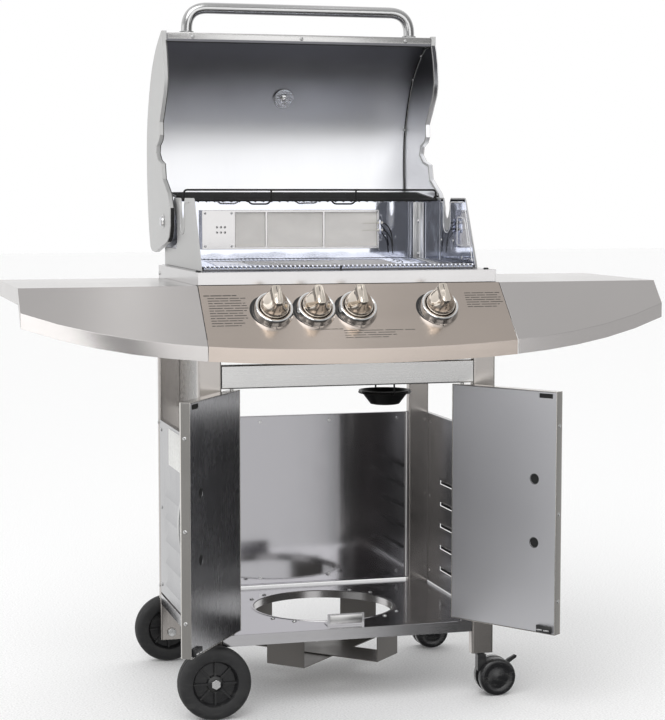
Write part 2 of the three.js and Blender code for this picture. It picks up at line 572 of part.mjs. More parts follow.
// ---------------------------------------------------------------- firebox
// folded rim: front rail, front ledge and side bands round the cooking opening
const RIM_REAR_Y = FIREBOX_BACK_Y;
const RIM_BAND_END_Y = 428;            // the side bands stop here, short of the rear
const RIM_CORNER_X = 297;
const rim = cut(
  box(-CART_HALF_WIDTH, CART_HALF_WIDTH, 0, RIM_REAR_Y, RIM_SIDE_BOTTOM_Z, RIM_TOP_Z),
  box(-CART_HALF_WIDTH + SHEET, CART_HALF_WIDTH - SHEET, SHEET, RIM_REAR_Y - SHEET,
    RIM_SIDE_BOTTOM_Z - 1, RIM_TOP_Z - SHEET),
  box(-WALL_X + 3, WALL_X - 3, FIREBOX_OPENING_FRONT_Y, FIREBOX_BACK_Y - 2, RIM_TOP_Z - 10, RIM_TOP_Z + 1),
  box(-CART_HALF_WIDTH - 1, CART_HALF_WIDTH + 1, -1, 20, RIM_SIDE_BOTTOM_Z - 1, RIM_FRONT_BOTTOM_Z),
  [-1, 1].map((side) => box(...[side * RIM_CORNER_X, side * (CART_HALF_WIDTH + 1)].sort((a, b) => a - b),
    RIM_BAND_END_Y, RIM_REAR_Y + 1, RIM_SIDE_BOTTOM_Z - 1, RIM_TOP_Z + 1)));
add('firebox_rim', rim, STEEL);

// side walls with a notch for a spit
const NOTCH_Y = 249;
const NOTCH_LINE = [[-24, WALL_TOP_Z], [-18, WALL_TOP_Z - 8], [-16, 1006], [-8, 991], [0, 986],
  [8, 991], [16, 1006], [18, WALL_TOP_Z - 8], [24, WALL_TOP_Z]];
function wallOutline() {
  return [[58, RIM_TOP_Z + GAP], [62, RIM_TOP_Z + 12], [128, WALL_TOP_Z - 6], [134, WALL_TOP_Z]].concat(
    NOTCH_LINE.map(([y, z]) => [NOTCH_Y + y, z]),
    [[342, WALL_TOP_Z], [350, WALL_TOP_Z - 8], [346, 1008], [322, 990], [310, 945], [318, 924],
      [FIREBOX_BACK_Y - 2, 924], [FIREBOX_BACK_Y - 2, RIM_TOP_Z + GAP]]);
}
function fireboxWall(side) {
  const [x0, x1] = [side * WALL_X, side * (WALL_X - 2)].sort((a, b) => a - b);
  return alongX(wallOutline(), x0, x1);
}
add('firebox_wall_left', fireboxWall(-1), CAST);
add('firebox_wall_right', fireboxWall(1), CAST);

// back wall with forward returns that carry the lid pivots
const RETURN_X = WALL_X - 2 - GAP;
const BACK_TOP_Z = 1027;
const LID_PIN_RADIUS = 6;
const backShell = cut(
  box(-RETURN_X, RETURN_X, 292, FIREBOX_BACK_Y - SHEET, RIM_TOP_Z + GAP, BACK_TOP_Z),
  box(-RETURN_X + SHEET, RETURN_X - SHEET, 291, FIREBOX_BACK_Y - 2 * SHEET, RIM_TOP_Z - 1, BACK_TOP_Z + 1));
const capInnerX = LID_SKIN_HALF + GAP;
const capOuterX = capInnerX + LID_CAP_THICKNESS;
const lidPins = [-1, 1].map((side) => union(
  bar([side * (RETURN_X - 1), LID_PIVOT_Y, LID_PIVOT_Z], [side * (capOuterX + 2), LID_PIVOT_Y, LID_PIVOT_Z],
    LID_PIN_RADIUS, 16),
  bar([side * (capOuterX + GAP), LID_PIVOT_Y, LID_PIVOT_Z],
    [side * (capOuterX + 7), LID_PIVOT_Y, LID_PIVOT_Z], 10, 6)));
add('firebox_back', union(backShell, lidPins), STEEL);

// lower body: an open box that hangs inside the legs, its floor draining to one hole
const TRAY_FRONT_Y = 60;
const TRAY_REAR_Y = 428;
const DRAIN_X = 139;
const DRAIN_Y = 215;
const DRAIN_RADIUS = 18;
const TRAY_FLANGE_Z = RIM_TOP_Z - SHEET - GAP;
const trayWalls = cut(
  box(-TRAY_HALF_WIDTH, TRAY_HALF_WIDTH, TRAY_FRONT_Y, TRAY_REAR_Y, TRAY_BOTTOM_Z, TRAY_FLANGE_Z),
  box(-TRAY_HALF_WIDTH + SHEET, TRAY_HALF_WIDTH - SHEET, TRAY_FRONT_Y + SHEET, TRAY_REAR_Y - SHEET,
    TRAY_BOTTOM_Z + SHEET, TRAY_FLANGE_Z + 1));
const trayFlange = cut(
  box(-WALL_X + 4, WALL_X - 4, FIREBOX_OPENING_FRONT_Y + 1, FIREBOX_BACK_Y - 4,
    TRAY_FLANGE_Z - SHEET, TRAY_FLANGE_Z),
  box(-TRAY_HALF_WIDTH + SHEET, TRAY_HALF_WIDTH - SHEET, TRAY_FRONT_Y + SHEET, TRAY_REAR_Y - SHEET,
    TRAY_FLANGE_Z - 4, TRAY_FLANGE_Z + 1));
const burnerHoles = BURNER_XS.map((x) => bar([x, TRAY_FRONT_Y - 2, BURNER_Z],
  [x, TRAY_FRONT_Y + 5, BURNER_Z], BURNER_RADIUS + 1.5, 16));
const drainSpout = bar([DRAIN_X, DRAIN_Y, TRAY_BOTTOM_Z - 40], [DRAIN_X, DRAIN_Y, TRAY_BOTTOM_Z + 1],
  DRAIN_RADIUS + SHEET, 20);
const drainHole = bar([DRAIN_X, DRAIN_Y, TRAY_BOTTOM_Z - 42], [DRAIN_X, DRAIN_Y, TRAY_BOTTOM_Z + 4],
  DRAIN_RADIUS, 20);
add('firebox_tray', cut(union(trayWalls, trayFlange, drainSpout), burnerHoles, drainHole), STEEL);

// ---------------------------------------------------------------- burners, heat plate and grates
for (const [i, x] of BURNER_XS.entries()) {
  const tube = cut(
    bar([x, 26, BURNER_Z], [x, 398, BURNER_Z], BURNER_RADIUS, 16),
    bar([x, 25, BURNER_Z], [x, 396, BURNER_Z], BURNER_RADIUS - 1.5, 16));
  const foot = box(x - 10, x + 10, 380, 392, TRAY_BOTTOM_Z + SHEET + GAP, BURNER_Z - BURNER_RADIUS + 1);
  add(`burner_${['left', 'middle', 'right'][i]}`, union(tube, foot), STEEL);
}

// one folded plate with a ridge over each burner
const HEAT_PLATE_Z = 828;
const RIDGE_HALF = 52;
const RIDGE_RISE = 26;
function heatPlateOutline() {
  const top = [[-TRAY_HALF_WIDTH + 3, HEAT_PLATE_Z]];
  for (const x of BURNER_XS) {
    top.push([x - RIDGE_HALF, HEAT_PLATE_Z], [x, HEAT_PLATE_Z + RIDGE_RISE],
      [x + RIDGE_HALF, HEAT_PLATE_Z]);
  }
  top.push([TRAY_HALF_WIDTH - 3, HEAT_PLATE_Z]);
  const bottom = top.map(([x, z]) => [x, z - 2]).reverse();
  return bottom.concat(top);
}
add('heat_plate', alongY(heatPlateOutline().reverse(), 84, 404), STEEL);

const GRATE_ROD_RADIUS = 3;
const GRATE_RAIL_RADIUS = 4;
const GRATE_RODS = 11;
const GRATE_FRONT_Y = 60;
const GRATE_REAR_Y = 431;
const GRATE_OUTER_X = 285;
function grate(side) {
  const railZ = TRAY_FLANGE_Z + GAP + GRATE_RAIL_RADIUS;
  const rodZ = railZ + GRATE_RAIL_RADIUS + GRATE_ROD_RADIUS - 2;
  const [x0, x1] = [side * 1.5, side * GRATE_OUTER_X].sort((a, b) => a - b);
  const rails = [GRATE_FRONT_Y + 8, (GRATE_FRONT_Y + GRATE_REAR_Y) / 2, GRATE_REAR_Y - 14].map((y) => bar(
    [x0, y, railZ], [x1, y, railZ], GRATE_RAIL_RADIUS, 4));
  const rods = [];
  for (let i = 0; i < GRATE_RODS; i += 1) {
    const x = x0 + GRATE_RAIL_RADIUS + ((x1 - x0 - 2 * GRATE_RAIL_RADIUS) * i) / (GRATE_RODS - 1);
    rods.push(bar([x, GRATE_FRONT_Y, rodZ], [x, GRATE_REAR_Y, rodZ], GRATE_ROD_RADIUS, 4));
  }
  return union(rails, rods);
}
add('cooking_grate_left', grate(-1), STEEL);
add('cooking_grate_right', grate(1), STEEL);

// ---------------------------------------------------------------- warming rack
// it leans up to the rear and rests on the side walls by a hook at each end
const RACK_FRONT_Z = 1026;
const RACK_REAR_Z = 1041;
const RACK_WIRE = 1.8;
const RACK_SIDE_WIRE = 2.4;
const RACK_HALF = 283;
const RACK_FRONT_Y = 296;
const RACK_REAR_Y = 438;
const RACK_HOOK_Y = 316;
const RACK_HOOK_Z = WALL_TOP_Z + RACK_SIDE_WIRE + 2 * GAP;
const FENCE_TOP_Z = 1048;
const RACK_RODS = 7;
function rackPoint(x, y, below = 0) {
  const share = (y - RACK_FRONT_Y) / (RACK_REAR_Y - RACK_FRONT_Y);
  return [x, y, RACK_FRONT_Z + (RACK_REAR_Z - RACK_FRONT_Z) * share - below];
}
const rackParts = [];
for (const side of [-1, 1]) {
  const x = side * RACK_HALF;
  rackParts.push(bar(rackPoint(x, RACK_FRONT_Y), rackPoint(x, RACK_REAR_Y), RACK_SIDE_WIRE, 8));
  rackParts.push(bar(rackPoint(x, RACK_HOOK_Y), [x, RACK_HOOK_Y, RACK_HOOK_Z + 1], RACK_SIDE_WIRE, 8));
  rackParts.push(bar([x - side, RACK_HOOK_Y, RACK_HOOK_Z], [side * (WALL_X + 1), RACK_HOOK_Y, RACK_HOOK_Z],
    RACK_SIDE_WIRE, 8));
}
for (const x of [-95, 95]) {
  rackParts.push(bar(rackPoint(x, RACK_FRONT_Y, 3), rackPoint(x, RACK_REAR_Y, 3), 2.2, 8));
}
for (let i = 0; i < RACK_RODS; i += 1) {
  const y = RACK_FRONT_Y + ((RACK_REAR_Y - RACK_FRONT_Y) * i) / (RACK_RODS - 1);
  rackParts.push(bar(rackPoint(-RACK_HALF, y), rackPoint(RACK_HALF, y), RACK_WIRE, 6));
}
rackParts.push(bentBar([[-279, RACK_FRONT_Y, RACK_FRONT_Z], [-279, RACK_FRONT_Y, FENCE_TOP_Z],
  [279, RACK_FRONT_Y, FENCE_TOP_Z], [279, RACK_FRONT_Y, RACK_FRONT_Z]], 2.1, 7, 100, 5));
for (const x of [-90, 98]) {
  rackParts.push(bar([x, RACK_FRONT_Y, RACK_FRONT_Z - 3], [x, RACK_FRONT_Y, FENCE_TOP_Z], RACK_WIRE, 6));
}
const RACK_LOOP_DROP = 8;
for (const [x0, x1] of [[-142, -90], [42, 98]]) {
  const loopZ = RACK_FRONT_Z - RACK_LOOP_DROP;
  rackParts.push(bentBar([[x0, RACK_FRONT_Y, RACK_FRONT_Z], [x0 + 8, RACK_FRONT_Y, loopZ],
    [x1 - 8, RACK_FRONT_Y, loopZ], [x1, RACK_FRONT_Y, RACK_FRONT_Z]], 1.7, 6, 16, 6));
}
add('warming_rack', union(rackParts), BLACK_IRON);

// ---------------------------------------------------------------- rear infrared burner
const REAR_BURNER_BACK_Y = FIREBOX_BACK_Y - 2 * SHEET - GAP;
const REAR_BURNER_FRONT_Y = REAR_BURNER_BACK_Y - 18;
const REAR_BURNER_X0 = -212;
const REAR_BURNER_X1 = 192;
const REAR_BURNER_Z0 = 918;
const REAR_BURNER_Z1 = 1004;
const TILE_WINDOWS = [[-138, -70], [-65, 61], [66, 187]];
const frameBlock = box(REAR_BURNER_X0, REAR_BURNER_X1, REAR_BURNER_FRONT_Y, REAR_BURNER_BACK_Y,
  REAR_BURNER_Z0, REAR_BURNER_Z1);
const tilePocket = box(-140, REAR_BURNER_X1 - 3, REAR_BURNER_FRONT_Y + 3, REAR_BURNER_BACK_Y + 1,
  REAR_BURNER_Z0 + 3, REAR_BURNER_Z1 - 3);
const windows = TILE_WINDOWS.map(([x0, x1]) => box(x0, x1, REAR_BURNER_FRONT_Y - 1, REAR_BURNER_FRONT_Y + 4,
  REAR_BURNER_Z0 + 5, REAR_BURNER_Z1 - 5));
const PORT_XS = [-179, -170, -161];
const PORT_ZS = [955, 966.5];
const ports = PORT_XS.flatMap((x) => PORT_ZS.map((z) => bar([x, REAR_BURNER_FRONT_Y - 1, z],
  [x, REAR_BURNER_FRONT_Y + 8, z], 2.2, 8)));
add('rear_burner_frame', cut(frameBlock, tilePocket, windows, ports), CHROME);
add('rear_burner_tiles', box(-140 + GAP, REAR_BURNER_X1 - 3 - GAP, REAR_BURNER_FRONT_Y + 3 + GAP,
  REAR_BURNER_BACK_Y, REAR_BURNER_Z0 + 3 + GAP, REAR_BURNER_Z1 - 3 - GAP), CERAMIC);

// ---------------------------------------------------------------- grease cup and its wire holder
const CUP_RIM_Z = 622.5;
const CUP_DEPTH = 31;
const CUP_RIM_RADIUS = 56;
const cupAt = new THREE.Vector3(DRAIN_X, DRAIN_Y, CUP_RIM_Z - CUP_DEPTH);
const cupProfile = [[0, 0], [30, 0], [52, CUP_DEPTH - 2], [CUP_RIM_RADIUS, CUP_DEPTH - 2],
  [CUP_RIM_RADIUS, CUP_DEPTH], [50.6, CUP_DEPTH], [29, 1.6], [0, 1.6]];
add('grease_cup', turned(cupProfile, cupAt, Z_AXIS, 24), BLACK_IRON);
const HOLDER_RADIUS = 53.6;
const HOLDER_WIRE = 2;
const holderZ = CUP_RIM_Z - 2 - GAP - HOLDER_WIRE - 0.4;
const holderRing = cut(
  bar([DRAIN_X, DRAIN_Y, holderZ - HOLDER_WIRE], [DRAIN_X, DRAIN_Y, holderZ + HOLDER_WIRE],
    HOLDER_RADIUS + 3, 16),
  bar([DRAIN_X, DRAIN_Y, holderZ - HOLDER_WIRE - 1], [DRAIN_X, DRAIN_Y, holderZ + HOLDER_WIRE + 1],
    HOLDER_RADIUS - 0.6, 16));
const holderHangers = [-1, 1].map((side) => {
  const hangerY = DRAIN_Y + side * (HOLDER_RADIUS + 14);
  return bentBar([[DRAIN_X, DRAIN_Y + side * (HOLDER_RADIUS + 1), holderZ], [DRAIN_X, hangerY, holderZ],
    [DRAIN_X, hangerY, TRAY_BOTTOM_Z - GAP]], HOLDER_WIRE, 6, 8, 5);
});
add('cup_holder', union(holderRing, holderHangers), BLACK_IRON);

// ---------------------------------------------------------------- lid
// inner face of the lid skin in (y, z), from the front strip over the back to the rear edge
const SKIN_LINE = [[386, 1364], [386, 1380], [400, 1377], [424, 1366], [452, 1351], [476, 1335],
  [497, 1317], [513, 1300], [528, 1279], [541, 1257], [554, 1231], [566, 1202], [574, 1170],
  [577.5, 1130], [577, 1085], [573, 1040], [566, 1000], [556, 960], [541, 925]];
const SKIN_THICKNESS = 2;
function offsetLine(line, distance) {
  return line.map((point, i) => {
    const before = line[Math.max(i - 1, 0)];
    const after = line[Math.min(i + 1, line.length - 1)];
    const along = new THREE.Vector2(after[0] - before[0], after[1] - before[1]).normalize();
    return [point[0] - along.y * distance, point[1] + along.x * distance];
  });
}
function lidSkin() {
  const inner = SKIN_LINE;
  const outer = offsetLine(SKIN_LINE, SKIN_THICKNESS);
  return alongX(inner.concat(outer.slice().reverse()).reverse(), -LID_SKIN_HALF, LID_SKIN_HALF);
}
const GAUGE_AT = new THREE.Vector3(-2, 542, 1255);
const GAUGE_AXIS = new THREE.Vector3(0, 0.9, 0.436);
const GAUGE_STEM_RADIUS = 5;
const gaugeHole = turned([[0, -20], [GAUGE_STEM_RADIUS + 1, -20], [GAUGE_STEM_RADIUS + 1, 20], [0, 20]],
  GAUGE_AT, GAUGE_AXIS, 12);
add('lid_skin', cut(lidSkin(), gaugeHole), STEEL);
add('lid_thermometer', turned([[0, -16], [GAUGE_STEM_RADIUS, -16], [GAUGE_STEM_RADIUS, -9], [12, -9],
  [12, -4], [GAUGE_STEM_RADIUS, -4], [GAUGE_STEM_RADIUS, 6], [32, 6], [32, 18], [29, 20], [0, 20]],
GAUGE_AT, GAUGE_AXIS, 16), CHROME);

// cast end caps: the front edge is wavy and the rear edge follows the skin
const CAP_FRONT_EDGE = [[345, 938], [322, 948], [308, 972], [308, 1010], [330, 1040], [368, 1060],
  [392, 1072], [398, 1090], [402, 1104], [440, 1112], [464, 1128], [458, 1144], [430, 1154],
  [420, 1166], [422, 1194], [402, 1216], [370, 1256], [361, 1285], [368, 1325], [376, 1350],
  [384, 1366], [384, 1386]];
function lidCap(side) {
  const rear = offsetLine(SKIN_LINE.slice(2), 6);
  const outline = CAP_FRONT_EDGE.concat([[394, 1386]], rear, [[528, 914], [490, 912]]);
  const [x0, x1] = [side * capInnerX, side * capOuterX].sort((a, b) => a - b);
  const pinHole = bar([side * (capInnerX - 2), LID_PIVOT_Y, LID_PIVOT_Z],
    [side * (capOuterX + 2), LID_PIVOT_Y, LID_PIVOT_Z], LID_PIN_RADIUS + GAP, 16);
  return cut(alongX(outline.slice().reverse(), x0, x1), pinHole);
}
add('lid_cap_left', lidCap(-1), CAST);
add('lid_cap_right', lidCap(1), CAST);

const LID_HANDLE_Y = 402;
const LID_HANDLE_RADIUS = 12;
const LID_HANDLE_HALF = 250;
const LID_HANDLE_BEND = 46;
const LID_HANDLE_FOOT_Z = 1384.5;
const LID_HANDLE_TOP_Z = 1437;
add('lid_handle', bentBar([[-LID_HANDLE_HALF, LID_HANDLE_Y, LID_HANDLE_FOOT_Z],
  [-LID_HANDLE_HALF, LID_HANDLE_Y, LID_HANDLE_TOP_Z], [LID_HANDLE_HALF, LID_HANDLE_Y, LID_HANDLE_TOP_Z],
  [LID_HANDLE_HALF, LID_HANDLE_Y, LID_HANDLE_FOOT_Z]], LID_HANDLE_RADIUS, LID_HANDLE_BEND, 40, 8), CHROME);

// ---------------------------------------------------------------- sloping front, in three pieces
function bowY(x) {
  return BOW_MIDDLE_Y + BOW_FALL_2 * x ** 2 + BOW_FALL_4 * x ** 4;
}
function bowPrism(x0, x1, inset, backY) {
  const steps = Math.max(2, Math.round(Math.abs(x1 - x0) / 70));
  const points = [[x1, backY], [x0, backY]];
  for (let i = 0; i <= steps; i += 1) {
    const x = x0 + ((x1 - x0) * i) / steps;
    points.push([x, bowY(x) + inset]);
  }
  return alongZ(points.reverse(), 680, 900);
}
// the layer that follows the flat top and the sloping face, between two depths below them
function frontLayer(x0, x1, backY, top, bottom) {
  const far = -160;
  const line = [[backY, PANEL_EDGE_Z], [PANEL_EDGE_Y, PANEL_EDGE_Z],
    [far, PANEL_EDGE_Z + (far - PANEL_EDGE_Y) * SLOPE_TAN]];
  const upper = line.map(([y, z]) => [y, z - top]);
  const lower = line.map(([y, z]) => [y, z - bottom]).reverse();
  return alongX(upper.concat(lower), x0, x1);
}
// hollowed between the two x positions of open; an end outside them stays closed
function slopingFront(x0, x1, backY, open) {
  const sheetDrop = SHEET / Math.cos(SLOPE_DEG * DEG);
  const solid = bowPrism(x0, x1, 0, backY).intersect(frontLayer(x0 - 1, x1 + 1, backY + 1, 0, LIP_HEIGHT));
  const inside = bowPrism(open[0], open[1], SHEET, backY + 2)
    .intersect(frontLayer(open[0] - 1, open[1] + 1, backY + 3, sheetDrop, LIP_HEIGHT + 2));
  return cut(solid, inside);
}

// everything to the right of the seam between the control panel and the right side shelf
function rightOfSeam(clear) {
  const far = SHELF_END_X + 10;
  return alongZ([[SEAM_BACK_X + clear, SHELF_REAR_Y + 10], [SEAM_BACK_X + clear, PANEL_EDGE_Y],
    [SEAM_FRONT_X + clear, BOW_MIDDLE_Y], [SEAM_FRONT_X + clear, BOW_MIDDLE_Y - 10],
    [far, BOW_MIDDLE_Y - 10], [far, SHELF_REAR_Y + 10]], 670, 910);
}

const PANEL_END_X = CART_HALF_WIDTH - 0.3;
const PANEL_RIGHT_X = SEAM_FRONT_X + 4;
const knobPlaces = KNOB_XS.map((x) => new THREE.Vector3(x, KNOB_Y, KNOB_Z));
const bezels = knobPlaces.map((at) => turned([[BEZEL_BORE, -0.8], [BEZEL_RADIUS, -0.8],
  [BEZEL_RIM_RADIUS, BEZEL_HEIGHT], [BEZEL_BORE, BEZEL_HEIGHT], [BEZEL_BORE, -0.8]], at, PANEL_NORMAL, 24));
const stemHoles = knobPlaces.map((at) => turned([[0, -20], [6, -20], [6, 12], [0, 12]],
  at, PANEL_NORMAL, 10));
add('control_panel', cut(union(slopingFront(-PANEL_END_X, PANEL_RIGHT_X, -0.6,
  [-PANEL_END_X - 2, PANEL_RIGHT_X + 2]), bezels),
  stemHoles, rightOfSeam(0)), STEEL);

// side shelf: flat top, skirt on the outer end and rear, and the sloping front
const SHELF_LAP_Y = 12;
const SEAM_GAP = 1.4;
function sideShelf(side) {
  const inner = side < 0 ? -CART_HALF_WIDTH - 1.2 : SEAM_BACK_X + SEAM_GAP;
  const outer = side * SHELF_END_X;
  const [x0, x1] = [inner, outer].sort((a, b) => a - b);
  const pan = cut(
    box(x0, x1, 0, SHELF_REAR_Y, PANEL_EDGE_Z - SKIRT_HEIGHT, PANEL_EDGE_Z),
    box(x0 + SHEET, x1 - SHEET, -1, SHELF_REAR_Y - SHEET, PANEL_EDGE_Z - SKIRT_HEIGHT - 1,
      PANEL_EDGE_Z - SHEET));
  const open = [inner - side * 2, outer - side * SHEET].sort((a, b) => a - b);
  return union(pan, slopingFront(x0, x1, SHELF_LAP_Y, open));
}
add('shelf_left', sideShelf(-1), STEEL);
add('shelf_right', sideShelf(1).intersect(rightOfSeam(SEAM_GAP)), STEEL);

// ---------------------------------------------------------------- gas manifold, valves and knobs
const along = (at, distance) => at.clone().addScaledVector(PANEL_NORMAL, distance);
const VALVE_TOP = -14;
const VALVE_DEPTH = -50;
const pipeAt = along(knobPlaces[0], VALVE_DEPTH + 2);
const pipe = bar([-215, pipeAt.y, pipeAt.z], [205, pipeAt.y, pipeAt.z], 9, 8);
const valves = knobPlaces.map((at) => turned([[0, VALVE_DEPTH], [12, VALVE_DEPTH], [12, -26], [8, -22],
  [8, VALVE_TOP], [0, VALVE_TOP]], at, PANEL_NORMAL, 10));
const stemBores = knobPlaces.map((at) => turned([[0, -43], [STEM_RADIUS + GAP, -43],
  [STEM_RADIUS + GAP, VALVE_TOP + 1], [0, VALVE_TOP + 1]], at, PANEL_NORMAL, 10));
add('gas_manifold', cut(union(pipe, valves), stemBores), BRASS);

const KNOB_BACK = 8;
const KNOB_FACE = 26;
const GRIP_TOP = 54;
const KNOB_BORE_END = 24;
const KNOB_TRAVEL = 3.5;
const STEM_END = KNOB_BORE_END - KNOB_TRAVEL - GAP;
for (const [i, at] of knobPlaces.entries()) {
  const stem = turned([[0, -36], [STEM_RADIUS, -36], [STEM_RADIUS, STEM_END], [0, STEM_END]],
    at, PANEL_NORMAL, 10);
  add(`valve_stem_${i + 1}`, stem, BRASS);
  const disc = turned([[0, KNOB_BACK], [KNOB_RADIUS, KNOB_BACK], [KNOB_RADIUS, KNOB_FACE - 3],
    [KNOB_RADIUS - 3, KNOB_FACE], [0, KNOB_FACE]], at, PANEL_NORMAL, 20);
  // the grip is a bar across the disc, upright in the off position; drawn in (up the slope, outward)
  const grip = alongX([[-KNOB_RADIUS + 1, KNOB_FACE - 3.5], [-KNOB_RADIUS + 3, GRIP_TOP - 8],
    [-KNOB_RADIUS + 6, GRIP_TOP], [KNOB_RADIUS - 6, GRIP_TOP], [KNOB_RADIUS - 3, GRIP_TOP - 8],
    [KNOB_RADIUS - 1, KNOB_FACE - 3.5]].reverse(), -8, 8)
    .rotate([SLOPE_DEG, 0, 0])
    .translate([at.x, at.y, at.z]);
  const bore = turned([[0, KNOB_BACK - 1], [STEM_RADIUS + GAP, KNOB_BACK - 1],
    [STEM_RADIUS + GAP, KNOB_BORE_END], [0, KNOB_BORE_END]], at, PANEL_NORMAL, 10);
  add(`knob_${i + 1}`, cut(union(disc, grip), bore), CHROME);
}

export default grill;
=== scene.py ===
"""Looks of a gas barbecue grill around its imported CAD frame. Lengths are metres unless a name says mm."""

from math import copysign, cos, hypot, pi, radians, sin, sqrt, tau

import bmesh
import bpy
from mathutils import Matrix, Vector


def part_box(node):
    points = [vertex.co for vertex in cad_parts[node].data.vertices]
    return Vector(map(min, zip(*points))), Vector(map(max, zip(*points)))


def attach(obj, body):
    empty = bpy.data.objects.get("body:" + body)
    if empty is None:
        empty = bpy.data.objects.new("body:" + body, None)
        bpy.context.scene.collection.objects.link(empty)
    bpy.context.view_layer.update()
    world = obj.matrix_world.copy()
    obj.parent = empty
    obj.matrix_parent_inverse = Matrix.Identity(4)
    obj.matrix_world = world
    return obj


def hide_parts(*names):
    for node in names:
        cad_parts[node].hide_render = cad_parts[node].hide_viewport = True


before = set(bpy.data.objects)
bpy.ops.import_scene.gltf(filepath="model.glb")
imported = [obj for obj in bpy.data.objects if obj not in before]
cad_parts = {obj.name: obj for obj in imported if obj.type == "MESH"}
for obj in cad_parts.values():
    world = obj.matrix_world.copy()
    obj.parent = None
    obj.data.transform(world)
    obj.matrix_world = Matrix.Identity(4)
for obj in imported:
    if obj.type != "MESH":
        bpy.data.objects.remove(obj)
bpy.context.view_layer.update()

MM = 0.001
SIDES = ((-1, "left"), (1, "right"))
X_AXIS, Y_AXIS, Z_AXIS = Vector((1, 0, 0)), Vector((0, 1, 0)), Vector((0, 0, 1))
FRONT_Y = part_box("leg_front_left")[0].y     # front face of the front legs, where the design's Y is 0


def at(x, y, z):
    """A point of the design, in millimetres from the middle, the front legs' face and the floor."""
    return Vector((x * MM, FRONT_Y + y * MM, z * MM))


def lo(node):
    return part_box(node)[0]


def hi(node):
    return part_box(node)[1]


def middle(node):
    return (lo(node) + hi(node)) / 2


def show(name, data):
    """A new object in the scene."""
    obj = bpy.data.objects.new(name, data)
    bpy.context.scene.collection.objects.link(obj)
    return obj


# ---- camera
SENSOR_WIDTH = 36
FOCAL_LENGTH = 95
YAW_DEG = -15.45
PITCH_DEG = -4.98


def make_camera():
    data = bpy.data.cameras.new("camera")
    data.sensor_width = SENSOR_WIDTH
    data.lens = FOCAL_LENGTH
    data.clip_end = 100
    camera = show("camera", data)
    camera.location = at(-1046, -3652.8, 1038.3)
    camera.rotation_euler = (radians(90 + PITCH_DEG), 0, radians(YAW_DEG))
    bpy.context.scene.camera = camera


# ---- materials
class Nodes:
    """A node tree with short calls for the nodes it is built from."""

    def __init__(self, tree):
        self.tree = tree

    def node(self, kind, inputs=(), **settings):
        made = self.tree.nodes.new(kind)
        for key, value in settings.items():
            setattr(made, key, value)
        for key, value in dict(inputs).items():
            self.put(value, made.inputs[key])
        return made

    def put(self, value, socket):
        """A socket is linked to another one, and anything else becomes its constant value."""
        if isinstance(value, bpy.types.NodeSocket):
            self.tree.links.new(value, socket)
        else:
            socket.default_value = value

    def spread(self, value, low, high, source=(0.3, 0.7), **settings):
        return self.node("ShaderNodeMapRange", {
            "Value": value, "From Min": source[0], "From Max": source[1],
            "To Min": low, "To Max": high}, **settings).outputs["Result"]

    def sum(self, a, b, operation="ADD"):
        return self.node("ShaderNodeMath", {0: a, 1: b}, operation=operation).outputs[0]

    def parts(self, vector):
        return self.node("ShaderNodeSeparateXYZ", {"Vector": vector}).outputs


class Shader(Nodes):
    """The node tree of a new material."""

    def __init__(self, name):
        self.material = bpy.data.materials.new(name)
        self.material.use_nodes = True
        super().__init__(self.material.node_tree)
        self.place = self.node("ShaderNodeTexCoord").outputs["Object"]

    def noise(self, scale, detail=2.0, roughness=0.5, distortion=0.0):
        """Noise with its own scale along each axis, in features per metre."""
        where = self.node("ShaderNodeMapping", {"Vector": self.place, "Scale": scale}).outputs["Vector"]
        return self.node("ShaderNodeTexNoise", {
            "Vector": where, "Scale": 1.0, "Detail": detail,
            "Roughness": roughness, "Distortion": distortion}).outputs["Fac"]

    def mix(self, factor, a, b):
        return self.node("ShaderNodeMix", {0: factor, 6: a, 7: b}, data_type="RGBA").outputs[2]

    def shades(self, factor, colour, low, high):
        """A colour that is darkened or lightened from one gain to another."""
        return self.mix(factor, tone(colour, low), tone(colour, high))

    def bump(self, height, distance, **under):
        return self.node("ShaderNodeBump", {"Height": height, "Distance": distance, "Strength": 1.0,
                                            **under}).outputs["Normal"]

    def finish(self, colour, rough, **others):
        """Sets the surface's colour, roughness and other sockets, and gives the material."""
        sockets = {"Base Color": colour, "Roughness": rough}
        sockets.update({key.replace("_", " "): value for key, value in others.items()})
        for key, value in sockets.items():
            self.put(value, self.tree.nodes["Principled BSDF"].inputs[key])
        return self.material


def tone(colour, gain=1.0):
    return (colour[0] * gain, colour[1] * gain, colour[2] * gain, 1.0)


GRAIN_ALONG, GRAIN_ACROSS = 3.0, 620.0
STREAK_ALONG, STREAK_ACROSS = 1.6, 95.0


def grain_scale(axis, along, across):
    return tuple(along if i == axis else across for i in range(3))


def brushed(name, colour, rough, axis, grain=1.0, dirt=1.0):
    """Brushed steel: fine scratches and faint streaks along one axis, with smudges and slow tarnish."""
    s = Shader(name)
    fine = s.noise(grain_scale(axis, GRAIN_ALONG, GRAIN_ACROSS), 3.0, 0.7)
    streak = s.noise(grain_scale(axis, STREAK_ALONG, STREAK_ACROSS), 2.0)
    smudge = s.noise((9, 9, 9), 5.0, 0.6, 0.4)
    tarnish = s.noise((2.2, 2.2, 2.2), 2.0)
    shade = s.sum(s.spread(fine, -0.1 * grain, 0.1 * grain), s.spread(streak, -0.05 * grain, 0.05 * grain))
    shade = s.sum(shade, s.spread(tarnish, 0.5 - 0.5 * dirt, 0.5 + 0.5 * dirt))
    worn = s.sum(s.spread(fine, -0.04 * grain, 0.05 * grain), s.spread(smudge, -0.03 * dirt, 0.05 * dirt))
    roughness = s.sum(s.sum(worn, s.spread(streak, -0.006, 0.01)), rough)
    return s.finish(s.shades(shade, colour, 0.93, 1.05), roughness, Metallic=1.0, Anisotropic=0.35,
                    Normal=s.bump(fine, 0.000018 * grain))


